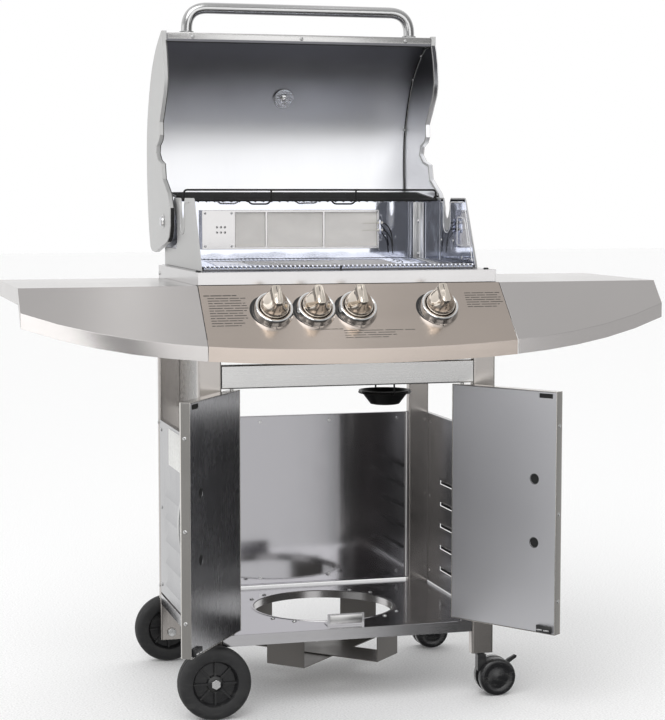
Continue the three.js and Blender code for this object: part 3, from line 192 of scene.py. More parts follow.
def polished(name, colour, rough):
    """Polished metal with faint waves, handling smudges and hairline scratches."""
    s = Shader(name)
    wave = s.noise((14, 14, 14), 1.0)
    smudge = s.noise((38, 38, 38), 4.0, 0.6, 0.5)
    hairline = s.noise((30, 900, 260), 2.0)
    worn = s.sum(s.spread(smudge, -0.3 * rough, 0.7 * rough), s.spread(hairline, 0.0, 0.3 * rough))
    colours = s.shades(s.spread(smudge, 0.0, 1.0), colour, 0.95, 1.03)
    return s.finish(colours, s.sum(worn, rough), Metallic=1.0, Normal=s.bump(wave, 0.0005))


def painted_shade_sheet(name, colour, rough, low_z, high_z, dark):
    """Satin sheet with painted shade that darkens it towards its upper edge, in place of the dark
    surroundings it reflects there, with fine upright brush marks.
    """
    s = Shader(name)
    fine = s.noise(grain_scale(2, GRAIN_ALONG, GRAIN_ACROSS), 3.0, 0.7)
    cloud = s.noise((3, 3, 3), 3.0, 0.5)
    level = s.sum(s.spread(cloud, -0.012, 0.012), s.parts(s.place)["Z"])
    # Painted shade: the colour turns from the sheet's own to the dark one as the height rises from low_z to
    # high_z.
    painted_shade = s.spread(level, 0.0, 1.0, (low_z, high_z), interpolation_type="SMOOTHERSTEP")
    worn = s.sum(s.spread(fine, -0.02, 0.03), s.spread(cloud, -0.02, 0.02))
    return s.finish(s.mix(painted_shade, tone(colour), tone(dark)), s.sum(worn, rough),
                    Metallic=1.0, Anisotropic=0.3, Normal=s.bump(fine, 0.00002))


def cast_alloy(name, colour, rough):
    """Die-cast side pieces with a fine satin sprayed skin."""
    s = Shader(name)
    speckle = s.noise((1500, 1500, 1500), 2.0)
    orange_peel = s.noise((260, 260, 260), 2.0)
    stain = s.noise((5, 5, 5), 4.0, 0.6)
    colours = s.shades(s.spread(stain, 0.0, 1.0), colour, 0.93, 1.04)
    roughness = s.sum(s.spread(stain, -0.05, 0.06), s.spread(speckle, rough - 0.05, rough + 0.05))
    relief = s.bump(orange_peel, 0.00010)
    return s.finish(colours, roughness, Metallic=0.35, Normal=s.bump(speckle, 0.00003, Normal=relief))


def moulded(name, colour, rough, texture_mm=0.7, dust=0.03):
    """Moulded black plastic or rubber: spark-eroded texture, dull scuffs and a trace of dust."""
    s = Shader(name)
    pits = s.noise((1 / (texture_mm * MM),) * 3, 2.0)
    scuff = s.noise((34, 34, 90), 5.0, 0.65, 0.8)
    grey = (colour[0] + dust, colour[1] + dust, colour[2] + dust * 0.9)
    colours = s.mix(s.spread(scuff, 0.0, 1.0, (0.5, 0.78)), tone(colour), tone(grey))
    roughness = s.sum(s.spread(pits, -0.05, 0.05), s.spread(scuff, rough - 0.05, rough + 0.14, (0.35, 0.7)))
    return s.finish(colours, roughness, Normal=s.bump(pits, 0.00009))


def enamel(name, colour):
    """Black porcelain enamel on wire and pressings: glossy, slightly uneven, browned by heat in places."""
    s = Shader(name)
    runs = s.noise((60, 60, 60), 3.0)
    burn = s.noise((16, 16, 16), 4.0, 0.6)
    colours = s.mix(s.spread(burn, 0.0, 0.5, (0.55, 0.75)), tone(colour), (0.03, 0.022, 0.018, 1))
    return s.finish(colours, s.spread(burn, 0.3, 0.5), Specular_IOR_Level=0.3, Normal=s.bump(runs, 0.0002))


TILE_HOLE_PITCH = 2.1 * MM


def ceramic(name, colour):
    """Perforated ceramic burner plates: a close grid of small holes, darkened in colour inside as painted
    shade, with warm uneven firing marks.
    """
    s = Shader(name)
    parts = s.parts(s.place)
    turns = tau / TILE_HOLE_PITCH

    waves = [s.sum(s.sum(parts[axis], turns, "MULTIPLY"), 0.0, "SINE") for axis in "XZ"]
    holes = s.sum(*waves, "MULTIPLY")
    depth = s.spread(holes, 1.0, 0.0, (0.6, 0.85))
    firing = s.noise((7, 7, 12), 4.0, 0.6)
    plain = s.shades(s.spread(firing, 0.0, 1.0), colour, 0.88, 1.06)
    # Painted shade: the colour is darkened to three quarters inside each hole.
    colours = s.mix(depth, tone(colour, 0.75), plain)
    return s.finish(colours, s.spread(firing, 0.75, 0.9), Normal=s.bump(depth, 0.0003))


def brass(name):
    """Cast brass with a patchy brown tarnish."""
    s = Shader(name)
    cast = s.noise((420, 420, 420), 2.0)
    tarnish = s.noise((22, 22, 22), 4.0)
    colours = s.mix(s.spread(tarnish, 0.0, 1.0), (0.42, 0.29, 0.12, 1), (0.78, 0.6, 0.3, 1))
    return s.finish(colours, s.spread(tarnish, 0.28, 0.5), Metallic=1.0, Normal=s.bump(cast, 0.0001))


def plain_print(name, colour, rough):
    """Printed ink or label film, a little uneven."""
    s = Shader(name)
    wear = s.noise((240, 240, 240), 3.0)
    colours = s.shades(s.spread(wear, 0.0, 1.0), colour, 0.85, 1.1)
    return s.finish(colours, s.spread(wear, rough - 0.06, rough + 0.06))


WARM_STEEL = (0.50, 0.44, 0.395)
STEEL = (0.56, 0.555, 0.55)
COOL_STEEL = (0.42, 0.42, 0.435)
BLACK = (0.012, 0.012, 0.013)

PANEL = brushed("brushed_panel_steel", WARM_STEEL, 0.2, 0, 0.25, 0.4)
FASCIA = brushed("brushed_fascia_steel", (0.56, 0.54, 0.53), 0.2, 0, 0.22, 0.4)
STEEL_X = brushed("brushed_steel_lengthwise", STEEL, 0.26, 0, 0.4, 0.6)
SHELF_STEEL = brushed("shelf_steel", (0.45, 0.445, 0.455), 0.13, 0, 0.3, 0.6)
STEEL_Y = brushed("brushed_steel_front_to_back", STEEL, 0.32, 1)
LEG_STEEL = brushed("leg_tube_steel", (0.43, 0.405, 0.385), 0.22, 2, 0.3, 0.6)
BACK_SHEET = brushed("back_sheet_steel", (0.46, 0.455, 0.475), 0.09, 2, 0.15, 0.3)
SIDE_SHEET = brushed("side_sheet_steel", (0.35, 0.35, 0.36), 0.2, 2, 0.3, 0.6)
DOOR_SHEET = brushed("door_shell_steel", (0.66, 0.64, 0.61), 0.18, 2, 0.5, 0.6)
# Shaded and lit copies of the same liner steel: the left door's is painted darker as shade, the right
# door's paler as painted light.
DOOR_LINER_PAINTED_SHADE = brushed("door_liner_painted_shade_steel", COOL_STEEL, 0.26, 2, 0.3, 0.5)
DOOR_LINER_PAINTED_LIGHT = brushed("door_liner_painted_light_steel", (0.72, 0.72, 0.745), 0.42, 2, 0.3, 0.5)
DARK_SHEET = brushed("stained_tray_steel", (0.2, 0.19, 0.18), 0.4, 0, 1.0)
BRIGHT_STEEL = brushed("bright_rail_steel", (0.54, 0.53, 0.53), 0.2, 0, 0.3, 0.4)
MIRROR = polished("polished_inner_steel", (0.66, 0.68, 0.75), 0.035)
# The lid and the cap liners carry painted shade, darker towards their tops.
LID_STEEL = painted_shade_sheet("lid_steel", (0.87, 0.875, 0.895), 0.36, 1.19, 1.36, (0.155, 0.155, 0.168))
CAP_LINER = painted_shade_sheet("cap_liner_steel", (0.86, 0.865, 0.89), 0.3, 1.18, 1.32, (0.11, 0.11, 0.12))
CHROME = polished("polished_chrome", (0.78, 0.78, 0.78), 0.07)
KNOB_METAL = polished("polished_knob_metal", (0.74, 0.67, 0.59), 0.09)
CAST = cast_alloy("cast_alloy_satin", (0.48, 0.48, 0.475), 0.42)
PLASTIC = moulded("black_moulded_plastic", BLACK, 0.33)
RUBBER = moulded("black_tyre_rubber", (0.016, 0.016, 0.017), 0.62, 1.1, 0.02)
ENAMEL = enamel("black_wire_enamel", (0.004, 0.004, 0.004))
CERAMIC = ceramic("perforated_ceramic", (0.93, 0.9, 0.86))
BRASS = brass("valve_brass")
INK = plain_print("dark_print", (0.05, 0.045, 0.04), 0.6)
INK_BLACK = plain_print("black_print", (0.008, 0.008, 0.008), 0.4)
LABEL = plain_print("pale_label_film", (0.72, 0.72, 0.70), 0.45)
SCREW_METAL = polished("screw_zinc", (0.6, 0.6, 0.6), 0.2)
# Flat black for real dark seams and joints, and also as painted shade: under the lid strip and the front
# rail, in the door holes, round the knobs, on the left cap's edge and behind the louvres.
DARK_JOINT_AND_PAINTED_SHADE = plain_print("dark_seal_and_painted_shade", (0.01, 0.01, 0.01), 0.8)
BRUSHED_TUBE = brushed("brushed_tube_steel", (0.52, 0.52, 0.52), 0.2, 0, 0.6)
# A much lighter copy of the cast alloy, used as a painted highlight on the right wall's beads, the right
# cap's edge and the corner channel.
CAST_PAINTED_HIGHLIGHT = cast_alloy("cast_painted_highlight", (0.8, 0.8, 0.8), 0.2)
CERAMIC_PLAIN = plain_print("electrode_ceramic", (0.75, 0.72, 0.66), 0.4)
PLASTIC_GLOSS = moulded("black_gloss_plastic", BLACK, 0.2, 1.4)

SLOTS = {
    "polished_steel": (STEEL_X, BRIGHT_STEEL, MIRROR, CAP_LINER, CHROME, KNOB_METAL, SCREW_METAL,
                       BRUSHED_TUBE),
    "black_plastic": (PLASTIC, PLASTIC_GLOSS, RUBBER, INK, INK_BLACK, DARK_JOINT_AND_PAINTED_SHADE),
    "black_wire": (ENAMEL,),
    "cast_alloy": (CAST, CAST_PAINTED_HIGHLIGHT),
    "ceramic_tile": (CERAMIC_PLAIN,),
}
SLOT_OF = {material: slot for slot, materials in SLOTS.items() for material in materials}

# ---- carried-over CAD nodes
WELD_DISTANCE = 1e-5
CAP_EDGE_RADIUS = 1.6 * MM


def dress(node, material, bevel_mm=0.5):
    """Gives a CAD node its material and, by modifiers alone, rounded edges that catch the light."""
    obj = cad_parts[node]
    obj.data.materials.clear()
    obj.data.materials.append(material)
    if "custom_normal" in obj.data.attributes:
        obj.data.attributes.remove(obj.data.attributes["custom_normal"])
    obj.data.shade_smooth()
    weld = obj.modifiers.new("weld", "WELD")
    weld.merge_threshold = WELD_DISTANCE
    bevel = obj.modifiers.new("edges", "BEVEL")
    bevel.width = bevel_mm * MM
    bevel.segments = 2
    bevel.limit_method = "ANGLE"
    bevel.angle_limit = radians(32)
    bevel.harden_normals = True
    shading = obj.modifiers.new("flats", "WEIGHTED_NORMAL")
    shading.keep_sharp = True
    shading.weight = 80


# Each material's CAD nodes, by how their names start.
DRESS = {
    LEG_STEEL: "leg",
    BACK_SHEET: "back_panel",
    SIDE_SHEET: "side_panel",
    STEEL_X: "front_beam side_plate",
    SHELF_STEEL: "bottom_shelf",
    DARK_SHEET: "firebox_tray heat_plate cradle_strap",
    LID_STEEL: "lid_skin",
    STEEL_Y: "burner",
    DOOR_SHEET: "door_left_shell door_right_shell",
    DOOR_LINER_PAINTED_SHADE: "door_left_liner",
    DOOR_LINER_PAINTED_LIGHT: "door_right_liner",
    PANEL: "control_panel",
    FASCIA: "shelf",
    BRIGHT_STEEL: "firebox_rim rear_burner_frame",
    MIRROR: "firebox_back",
    CAST: "firebox_wall lid_cap",
    PLASTIC: "castor_front_hood castor_rear_hood castor_front_brake",
    SCREW_METAL: "axle_bolt",
    CERAMIC: "rear_burner_tiles",
    BRASS: "gas_manifold valve_stem",
}


def dress_nodes():
    for material, starts in DRESS.items():
        for node in sorted(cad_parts):
            if node.startswith(tuple(starts.split())):
                dress(node, material)
    for _, label in SIDES:
        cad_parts["lid_cap_" + label].modifiers["edges"].width = CAP_EDGE_RADIUS


# ---- mesh tools
SHARP_ANGLE = radians(34)


def piece(name, mesh, material, body="cart", replaces=(), slot=None):
    """Turns a bmesh into a piece on a CAD body; the slot of its material, or the one given, is looked up
    but not put on the piece.
    """
    bmesh.ops.recalc_face_normals(mesh, faces=mesh.faces[:])
    for edge in mesh.edges:
        edge.smooth = not edge.is_manifold or edge.calc_face_angle() < SHARP_ANGLE
    for face in mesh.faces:
        face.smooth = True
    data = bpy.data.meshes.new(name)
    mesh.to_mesh(data)
    mesh.free()
    data.materials.append(material)
    obj = show(name, data)
    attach(obj, body)
    slot = SLOT_OF.get(material) if slot is None else slot
    if replaces:
        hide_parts(*replaces)
    return obj


def loft(mesh, rings, closed=False):
    """Joins rings of points, each of the same count, into a closed tube with flat ends, or into a ring."""
    made = [[mesh.verts.new(p) for p in points] for points in rings]
    count = len(made[0])
    pairs = list(zip(made, made[1:])) + ([(made[-1], made[0])] if closed else [])
    for one, other in pairs:
        for i in range(count):
            j = (i + 1) % count
            mesh.faces.new((one[i], one[j], other[j], other[i]))
    if not closed:
        mesh.faces.new(made[0][::-1])
        mesh.faces.new(made[-1])


def frame_of(normal):
    """Two directions that are square to a normal and to each other."""
    helper = Z_AXIS if abs(normal.normalized().z) < 0.9 else X_AXIS
    side = helper.cross(normal).normalized()
    return side, normal.normalized().cross(side)


def ring(centre, side, up, radius, count):
    """Points evenly spaced round a circle in the plane of two directions."""
    return [centre + (side * cos(a) + up * sin(a)) * radius
            for a in (tau * k / count for k in range(count))]


def turn(mesh, profile, centre, axis, steps=48):
    """Turns a profile of (radius, height) in mm, which starts and ends on the axis or closes."""
    axis = axis.normalized()
    side, up = frame_of(axis)
    on_axis = profile[0][0] == 0 and profile[-1][0] == 0
    rows = profile[1:-1] if on_axis else profile
    lines = []
    for out in ring(Vector(), side, up, 1.0, steps):
        lines.append([mesh.verts.new(centre + out * (r * MM) + axis * (h * MM)) for r, h in rows])
    pairs = list(zip(lines, lines[1:] + lines[:1]))
    count = len(rows)
    for line, following in pairs:
        for k in range(count - 1 if on_axis else count):
            m = (k + 1) % count
            mesh.faces.new((line[k], following[k], following[m], line[m]))
    if on_axis:
        for row, end in ((0, profile[0]), (-1, profile[-1])):
            tip = mesh.verts.new(centre + axis * (end[1] * MM))
            for line, following in pairs:
                mesh.faces.new((tip, line[row], following[row]))


def rounded_path(corners, bend, steps=6):
    """Points through corners, with each inner corner replaced by a smooth bend."""
    points = [corners[0]]
    for before, corner, after in zip(corners, corners[1:], corners[2:]):
        enter = corner + (before - corner).normalized() * bend
        leave = corner + (after - corner).normalized() * bend
        for i in range(steps + 1):
            t = i / steps
            points.append(enter.lerp(corner, t).lerp(corner.lerp(leave, t), t))
    points.append(corners[-1])
    return points


def sweep(mesh, points, radius, sides=12, closed=False):
    """Round bar along points, with its section carried round each bend without twisting."""
    count = len(points)
    rings = []
    side = None
    for i, point in enumerate(points):
        before = points[i - 1] if i or closed else point
        after = points[(i + 1) % count] if i < count - 1 or closed else point
        along = (after - before).normalized()
        if side is None:
            side, _ = frame_of(along)
        side = (side - along * side.dot(along)).normalized()
        up = along.cross(side)
        rings.append(ring(point, side, up, radius, sides))
    loft(mesh, rings, closed)


def rod(mesh, start, end, radius, sides=8, crown=0.35):
    """Straight bar with slightly crowned ends."""
    along = (end - start).normalized()
    lift = along * radius * crown
    side, up = frame_of(along)
    loft(mesh, [ring(centre, side, up, radius * size, sides) for centre, size in (
        (start, 0.6), (start + lift, 1.0), (end - lift, 1.0), (end, 0.6))])


def block(mesh, low, high, bevel_mm=0.6):
    """Box between two corners with rounded edges."""
    size = high - low
    cube = bmesh.ops.create_cube(mesh, size=1.0, matrix=Matrix.Translation((low + high) / 2)
                                 @ Matrix.Diagonal((*size, 1.0)))
    edges = list(dict.fromkeys(e for v in cube["verts"] for e in v.link_edges))
    bmesh.ops.bevel(mesh, geom=edges, offset=bevel_mm * MM, segments=2, affect="EDGES", profile=0.5)


def prism(mesh, outline, depth):
    """Closed outline of points pushed out by a depth vector."""
    loft(mesh, [outline, [p + depth for p in outline]])


def boxed(name, low, high, bevel_mm, material, body="cart"):
    """A piece that is one box between two corners."""
    mesh = bmesh.new()
    block(mesh, low, high, bevel_mm)
    piece(name, mesh, material, body)


def turned(name, profile, centre, axis, steps, material, *rest):
    """A piece that is one turned profile."""
    mesh = bmesh.new()
    turn(mesh, profile, centre, axis, steps)
    piece(name, mesh, material, *rest)


SCREW_HEAD = [(0, -0.5), (0.9, -0.5), (1.0, 0.12), (0.86, 0.36), (0.55, 0.48), (0.34, 0.42), (0.2, 0.08),
              (0, 0.08)]


def screw(mesh, centre, normal, radius_mm=3.6, sides=14):
    """Pan head with a driver recess; its flat side lies on the surface at the centre."""
    turn(mesh, [(r * radius_mm, h * radius_mm) for r, h in SCREW_HEAD], centre, normal, sides)


def screws(name, places, body="cart"):
    """A piece of several screws, each with its centre, its direction and its radius in millimetres."""
    mesh = bmesh.new()
    for centre, normal, radius_mm in places:
        screw(mesh, centre, normal, radius_mm)
    piece(name, mesh, SCREW_METAL, body)


def hexagon(mesh, centre, normal, across_mm, height_mm):
    """Hexagon nut or bolt head with a chamfered top."""
    side, up = frame_of(normal)
    radius = across_mm / sqrt(3) * MM
    loft(mesh, [ring(centre + normal.normalized() * height * MM, side, up, radius * size, 6)
                for size, height in ((1.0, -0.3), (1.0, height_mm - 0.8), (0.88, height_mm))])


# ---- lid
LID_SCREW_XS = (-240, 0, 237)
LID_STRIP_TOP_Z = 1383.0
LID_STRIP_BOTTOM_Z = 1366.0
LID_MOUTH_Y = 385.4


def lid_strip():
    left, right = lo("lid_skin").x / MM + 1, hi("lid_skin").x / MM - 1
    boxed("lid_front_strip", at(left, LID_MOUTH_Y - 1.2, LID_STRIP_BOTTOM_Z),
          at(right, LID_MOUTH_Y, LID_STRIP_TOP_Z), 0.4, STEEL_X, "lid")
    # A black band just under the strip: painted shadow below its fold.
    boxed("lid_strip_painted_shadow", at(left, LID_MOUTH_Y - 0.9, LID_STRIP_BOTTOM_Z - 4),
          at(right, LID_MOUTH_Y, LID_STRIP_BOTTOM_Z), 0.2, DARK_JOINT_AND_PAINTED_SHADE, "lid")
    strip_middle = (LID_STRIP_TOP_Z + LID_STRIP_BOTTOM_Z) / 2
    screws("lid_strip_screws", [(at(x, LID_MOUTH_Y - 1.2, strip_middle), -Y_AXIS, 4.2)
                                for x in LID_SCREW_XS], "lid")


HANDLE_HALF = 250
HANDLE_BEND = 46 * MM


def handle_bar():
    y = middle("lid_handle").y
    foot, top = lo("lid_handle").z, hi("lid_handle").z
    radius = (hi("lid_handle").y - lo("lid_handle").y) / 2
    corners = [Vector((side * HANDLE_HALF * MM, y, z)) for side, z in (
        (-1, foot), (-1, top - radius), (1, top - radius), (1, foot))]
    mesh = bmesh.new()
    sweep(mesh, rounded_path(corners, HANDLE_BEND, 14), radius, 28)
    for side in (-1, 1):
        turn(mesh, [(12.2, 0.0), (15.5, 0.0), (15.8, 1.4), (14.8, 2.6), (12.2, 3.0)],
             Vector((side * HANDLE_HALF * MM, y, foot)), Z_AXIS, 32)
    piece("lid_handle_tube", mesh, BRUSHED_TUBE, "lid", ["lid_handle"])


GAUGE_AXIS = Vector((0, 0.9, 0.436)).normalized()
DIAL_TICKS = 21
DIAL_SWEEP_DEG = 270


def thermometer():
    seat = at(-2, 542, 1255)
    turned("thermometer_case", [
        (0, -16), (4.2, -16), (4.6, -9.5), (5.0, -9.0), (5.0, 6), (30.5, 6), (32, 7.5), (32, 17.5),
        (31, 19.6), (29.4, 19.9), (28.6, 18.2), (28.6, 16.4), (0, 16.4)],
           seat, GAUGE_AXIS, 64, CHROME, "lid", ["lid_thermometer"])

    nut = bmesh.new()
    turn(nut, [(5.2, -3.4), (23.2, -3.4), (24.0, -4.2), (22.8, -5.6), (14, -6.2), (5.2, -6.2)],
         seat, GAUGE_AXIS, 56)
    hexagon(nut, seat - GAUGE_AXIS * (6.2 * MM), -GAUGE_AXIS, 14, 5.5)
    piece("thermometer_nut", nut, CHROME, "lid")
    turned("thermometer_face", [(0, 16.5), (28.4, 16.5), (28.4, 16.9), (0, 16.9)],
           seat, GAUGE_AXIS, 48, LABEL, "lid")

    marks = bmesh.new()
    side, up = frame_of(GAUGE_AXIS)
    ground = seat + GAUGE_AXIS * (16.95 * MM)

    def mark(base, out, start, end, half_start, half_end, thick):
        """Flat tapered bar on the dial, from one distance from its middle to another, in millimetres."""
        across = GAUGE_AXIS.cross(out)
        prism(marks, [base + (out * reach + across * half) * MM for reach, half in (
            (start, -half_start), (end, -half_end), (end, half_end), (start, half_start))],
              GAUGE_AXIS * thick * MM)

    for i in range(DIAL_TICKS):
        angle = radians(-90 - (360 - DIAL_SWEEP_DEG) / 2 - DIAL_SWEEP_DEG * i / (DIAL_TICKS - 1))
        start, half = (21, 0.45) if i % 5 else (18.5, 0.8)
        mark(ground, side * cos(angle) + up * sin(angle), start, 26, half, half, 0.15)
    base = ground + GAUGE_AXIS * 0.5 * MM
    mark(base, (side * -0.8 + up * -0.6).normalized(), -5, 22, 1.3, 0.195, 0.35)
    turn(marks, [(0, 0), (3.2, 0), (2.8, 0.9), (0, 1.1)], base, GAUGE_AXIS, 20)
    piece("thermometer_marks", marks, INK, "lid", slot="")


SEAM_RADIUS = 1.2 * MM
SKIN_INSIDE = [(386, 1364), (424, 1362), (452, 1347), (476, 1331), (497, 1313), (513, 1296), (528, 1275),
               (541, 1253), (554, 1227), (566, 1198), (572, 1166), (574.5, 1130), (574, 1085), (570, 1040),
               (563, 1000), (553, 960)]
CAP_EDGE = [(345, 938), (322, 948), (308, 972), (308, 1010), (330, 1040), (368, 1060), (392, 1072),
            (398, 1090), (402, 1104), (440, 1112), (464, 1128), (458, 1144), (430, 1154), (420, 1166),
            (422, 1194), (402, 1216), (370, 1256), (361, 1285), (368, 1325), (376, 1350), (384, 1366)]
CAP_EDGE_DARK = 4               # points of the edge, from its low end, that get a black band
LID_PIVOT_Y, LID_PIVOT_Z = 385, 981


def edge_normals(points):
    """Unit vectors square to a line in (y, z), pointing to its left as it is followed."""
    found = []
    for i in range(len(points)):
        before, after = points[max(i - 1, 0)], points[min(i + 1, len(points) - 1)]
        dy, dz = after[0] - before[0], after[1] - before[1]
        size = hypot(dy, dz)
        found.append((-dz / size, dy / size))
    return found


def edge_band(name, points, x0, x1, material):
    """Thin strip from x0 to x1 (mm) that lies on the front edge of a cap."""
    mesh = bmesh.new()
    section = ((x0, 0.1), (x1, 0.1), (x1, 0.5), (x0, 0.5))
    loft(mesh, [[at(x, y + ny * out, z + nz * out) for x, out in section]
                for (y, z), (ny, nz) in zip(points, edge_normals(points))])
    piece(name, mesh, material, "lid")


def cap_details():
    """Polished liners inside the caps with painted shade towards their tops; their edges, with a black band
    at the low end, a black line of painted shade along the left cap's edge, and on the right cap's edge a
    lighter face and a bright line as painted light; and the domed pivot bolts.
    """
    rim_line = [(y - 5 * ny, z - 5 * nz) for (y, z), (ny, nz) in zip(CAP_EDGE, edge_normals(CAP_EDGE))]
    skin_line = [(y - 3, z - 2) for y, z in SKIN_INSIDE[1:]]
    outline = rim_line[2:] + skin_line + [(542, 926), (470, 946), (400, 942), (350, 946)]
    inner, outer = lo("lid_cap_right").x / MM, hi("lid_cap_right").x / MM
    for side, label in SIDES:
        mesh = bmesh.new()
        prism(mesh, [at(side * (inner - 0.05), y, z) for y, z in outline], X_AXIS * (-side * 0.5 * MM))
        piece("lid_cap_liner_" + label, mesh, CAP_LINER, "lid")
        edge_band("cap_edge_dark_" + label, CAP_EDGE[:CAP_EDGE_DARK], side * (inner + 0.6),
                  side * (outer - 2.0), DARK_JOINT_AND_PAINTED_SHADE)
        turned("lid_pivot_bolt_" + label, [
            (0, 0.1), (14.5, 0.1), (15.0, 0.6), (14.4, 1.5), (11.4, 1.8), (11.1, 4.2), (9.4, 6.4),
            (5.6, 7.6), (0, 8.0)],
               at(side * outer, LID_PIVOT_Y, LID_PIVOT_Z), side * X_AXIS, 36, SCREW_METAL)
    # Painted shade along the left cap's edge; painted light on the right cap's edge face and outer line.
    edge_band("cap_edge_painted_shade_left", CAP_EDGE, -inner - 2.0, -inner - 0.6, DARK_JOINT_AND_PAINTED_SHADE)
    edge_band("cap_edge_painted_light_face_right", CAP_EDGE[CAP_EDGE_DARK - 1:], inner + 0.6, outer - 2.0, CAP_LINER)
    edge_band("cap_edge_painted_highlight_right", CAP_EDGE, outer - 2.0, outer - 0.8, CAST_PAINTED_HIGHLIGHT)


def lid_seam():
    """Dark joint between the lid's sheet and each cast cap, and the screws that hold them together."""
    edge = hi("lid_skin").x / MM
    screws("lid_cap_screws", [
        (at(side * (edge - 6.5), y - 4.5, z - 3.5), Vector((0, -0.8, -0.45)), 3.2)
        for side in (-1, 1) for y, z in ((500, 1301), (566, 1190), (569, 1050), (440, 1350))], "lid")
    for side, label in SIDES:
        mesh = bmesh.new()
        sweep(mesh, [at(side * (edge - 2.2), y, z) for y, z in SKIN_INSIDE], SEAM_RADIUS, 6)
        piece("lid_seal_" + label, mesh, DARK_JOINT_AND_PAINTED_SHADE, "lid")


# ---- firebox, grates, rack and rear burner
GRATE_RODS = 31
GRATE_ROD_RADIUS = 2.4 * MM
GRATE_RAIL_RADIUS = 3.8 * MM
GRATE_REAR_GAP = 9 * MM


def grate(label):
    """Close bars on three cross rails. They stop short of the CAD's at the rear, to pass the electrodes."""
    node = "cooking_grate_" + label
    low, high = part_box(node)
    rail_z = low.z + GRATE_RAIL_RADIUS
    rod_z = high.z - GRATE_ROD_RADIUS
    mesh = bmesh.new()
    for share in (0.02, 0.5, 0.96):
        y = low.y + (high.y - low.y) * share
        rod(mesh, Vector((low.x, y, rail_z)), Vector((high.x, y, rail_z)), GRATE_RAIL_RADIUS, 10)
    for i in range(GRATE_RODS):
        x = low.x + GRATE_RAIL_RADIUS + (high.x - low.x - 2 * GRATE_RAIL_RADIUS) * i / (GRATE_RODS - 1)
        rod(mesh, Vector((x, low.y, rod_z)), Vector((x, high.y - GRATE_REAR_GAP, rod_z)), GRATE_ROD_RADIUS)
    piece("grate_bars_" + label, mesh, MIRROR, "grate_" + label, [node])


RACK_HALF, RACK_FRONT_Y, RACK_REAR_Y = 283, 296, 438
RACK_FRONT_Z, RACK_REAR_Z, FENCE_TOP_Z = 1026, 1041, 1048
RACK_HOOK_Y, RACK_HOOK_Z, RACK_HOOK_X = 316, 1034.2, 291.5
RACK_CROSS_WIRES = 9
RACK_LONG_WIRES = 33


def rack_point(x, y, below=0.0):
    share = (y - RACK_FRONT_Y) / (RACK_REAR_Y - RACK_FRONT_Y)
    return at(x, y, RACK_FRONT_Z + (RACK_REAR_Z - RACK_FRONT_Z) * share - below)


def warming_rack():
    mesh = bmesh.new()
    outline = [rack_point(x, y) for x, y in (
        (0, RACK_FRONT_Y), (RACK_HALF, RACK_FRONT_Y), (RACK_HALF, RACK_REAR_Y),
        (-RACK_HALF, RACK_REAR_Y), (-RACK_HALF, RACK_FRONT_Y), (0, RACK_FRONT_Y))]
    sweep(mesh, rounded_path(outline, 9 * MM)[:-1], 2.5 * MM, 12, closed=True)
    for i in range(1, RACK_CROSS_WIRES - 1):
        y = RACK_FRONT_Y + (RACK_REAR_Y - RACK_FRONT_Y) * i / (RACK_CROSS_WIRES - 1)
        rod(mesh, rack_point(-RACK_HALF, y), rack_point(RACK_HALF, y), 1.5 * MM)
    for i in range(1, RACK_LONG_WIRES - 1):
        x = -RACK_HALF + 2 * RACK_HALF * i / (RACK_LONG_WIRES - 1)
        rod(mesh, rack_point(x, RACK_FRONT_Y, 3), rack_point(x, RACK_REAR_Y, 3), 1.6 * MM)
    fence = [at(x, RACK_FRONT_Y, z) for x, z in (
        (-279, RACK_FRONT_Z), (-279, FENCE_TOP_Z), (279, FENCE_TOP_Z), (279, RACK_FRONT_Z))]
    sweep(mesh, rounded_path(fence, 8 * MM), 2.1 * MM, 12)
    for x in (-90, 98):
        rod(mesh, at(x, RACK_FRONT_Y, RACK_FRONT_Z - 4), at(x, RACK_FRONT_Y, FENCE_TOP_Z), 2.0 * MM)
    for x0, x1 in ((-142, -90), (42, 98)):
        loop = [at(x, RACK_FRONT_Y, z) for x, z in (
            (x0, RACK_FRONT_Z), (x0 + 8, RACK_FRONT_Z - 8), (x1 - 8, RACK_FRONT_Z - 8), (x1, RACK_FRONT_Z))]
        sweep(mesh, rounded_path(loop, 5 * MM), 1.9 * MM, 10)
    for side in (-1, 1):
        hook = [rack_point(side * RACK_HALF, RACK_HOOK_Y), at(side * RACK_HALF, RACK_HOOK_Y, RACK_HOOK_Z),
                at(side * RACK_HOOK_X, RACK_HOOK_Y, RACK_HOOK_Z)]
        sweep(mesh, rounded_path(hook, 2.5 * MM), 2.3 * MM, 10)
    piece("warming_rack_wires", mesh, ENAMEL, "rack", ["warming_rack"])


BUMPER_XS, BUMPER_Y = (-305.5, 294), 16
RIM_SCREW_Y, RIM_SCREW_ZS = 417, (848, 868)
WALL_SCREWS = ((150, 905), (300, 905), (206, 940), (284, 940))


def rim_details():
    low, high = (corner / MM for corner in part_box("firebox_rim"))
    mesh = bmesh.new()
    for x in BUMPER_XS:
        turn(mesh, [(0, -0.5), (5.0, -0.5), (5.5, 0.8), (5.0, 2.4), (3.6, 3.1), (0, 3.2)],
             at(x, BUMPER_Y, high.z), Z_AXIS, 28)
    piece("lid_bumpers", mesh, RUBBER)

    wall = hi("firebox_wall_right").x / MM - 2
    places = []
    for side, rim in ((-1, low.x), (1, high.x)):
        places += [(at(rim, RIM_SCREW_Y, z), side * X_AXIS, 4.2) for z in RIM_SCREW_ZS]
        places += [(at(side * wall, y, z), -side * X_AXIS, 3.4) for y, z in WALL_SCREWS]
    screws("firebox_screws", places)

    front = low.y * MM
    boxed("rail_shadow_seal", Vector(((low.x + 8) * MM, front + 1.2 * MM, 858.6 * MM)),
          Vector(((high.x - 8) * MM, front + 6 * MM, 861.4 * MM)), 0.2, DARK_JOINT_AND_PAINTED_SHADE)


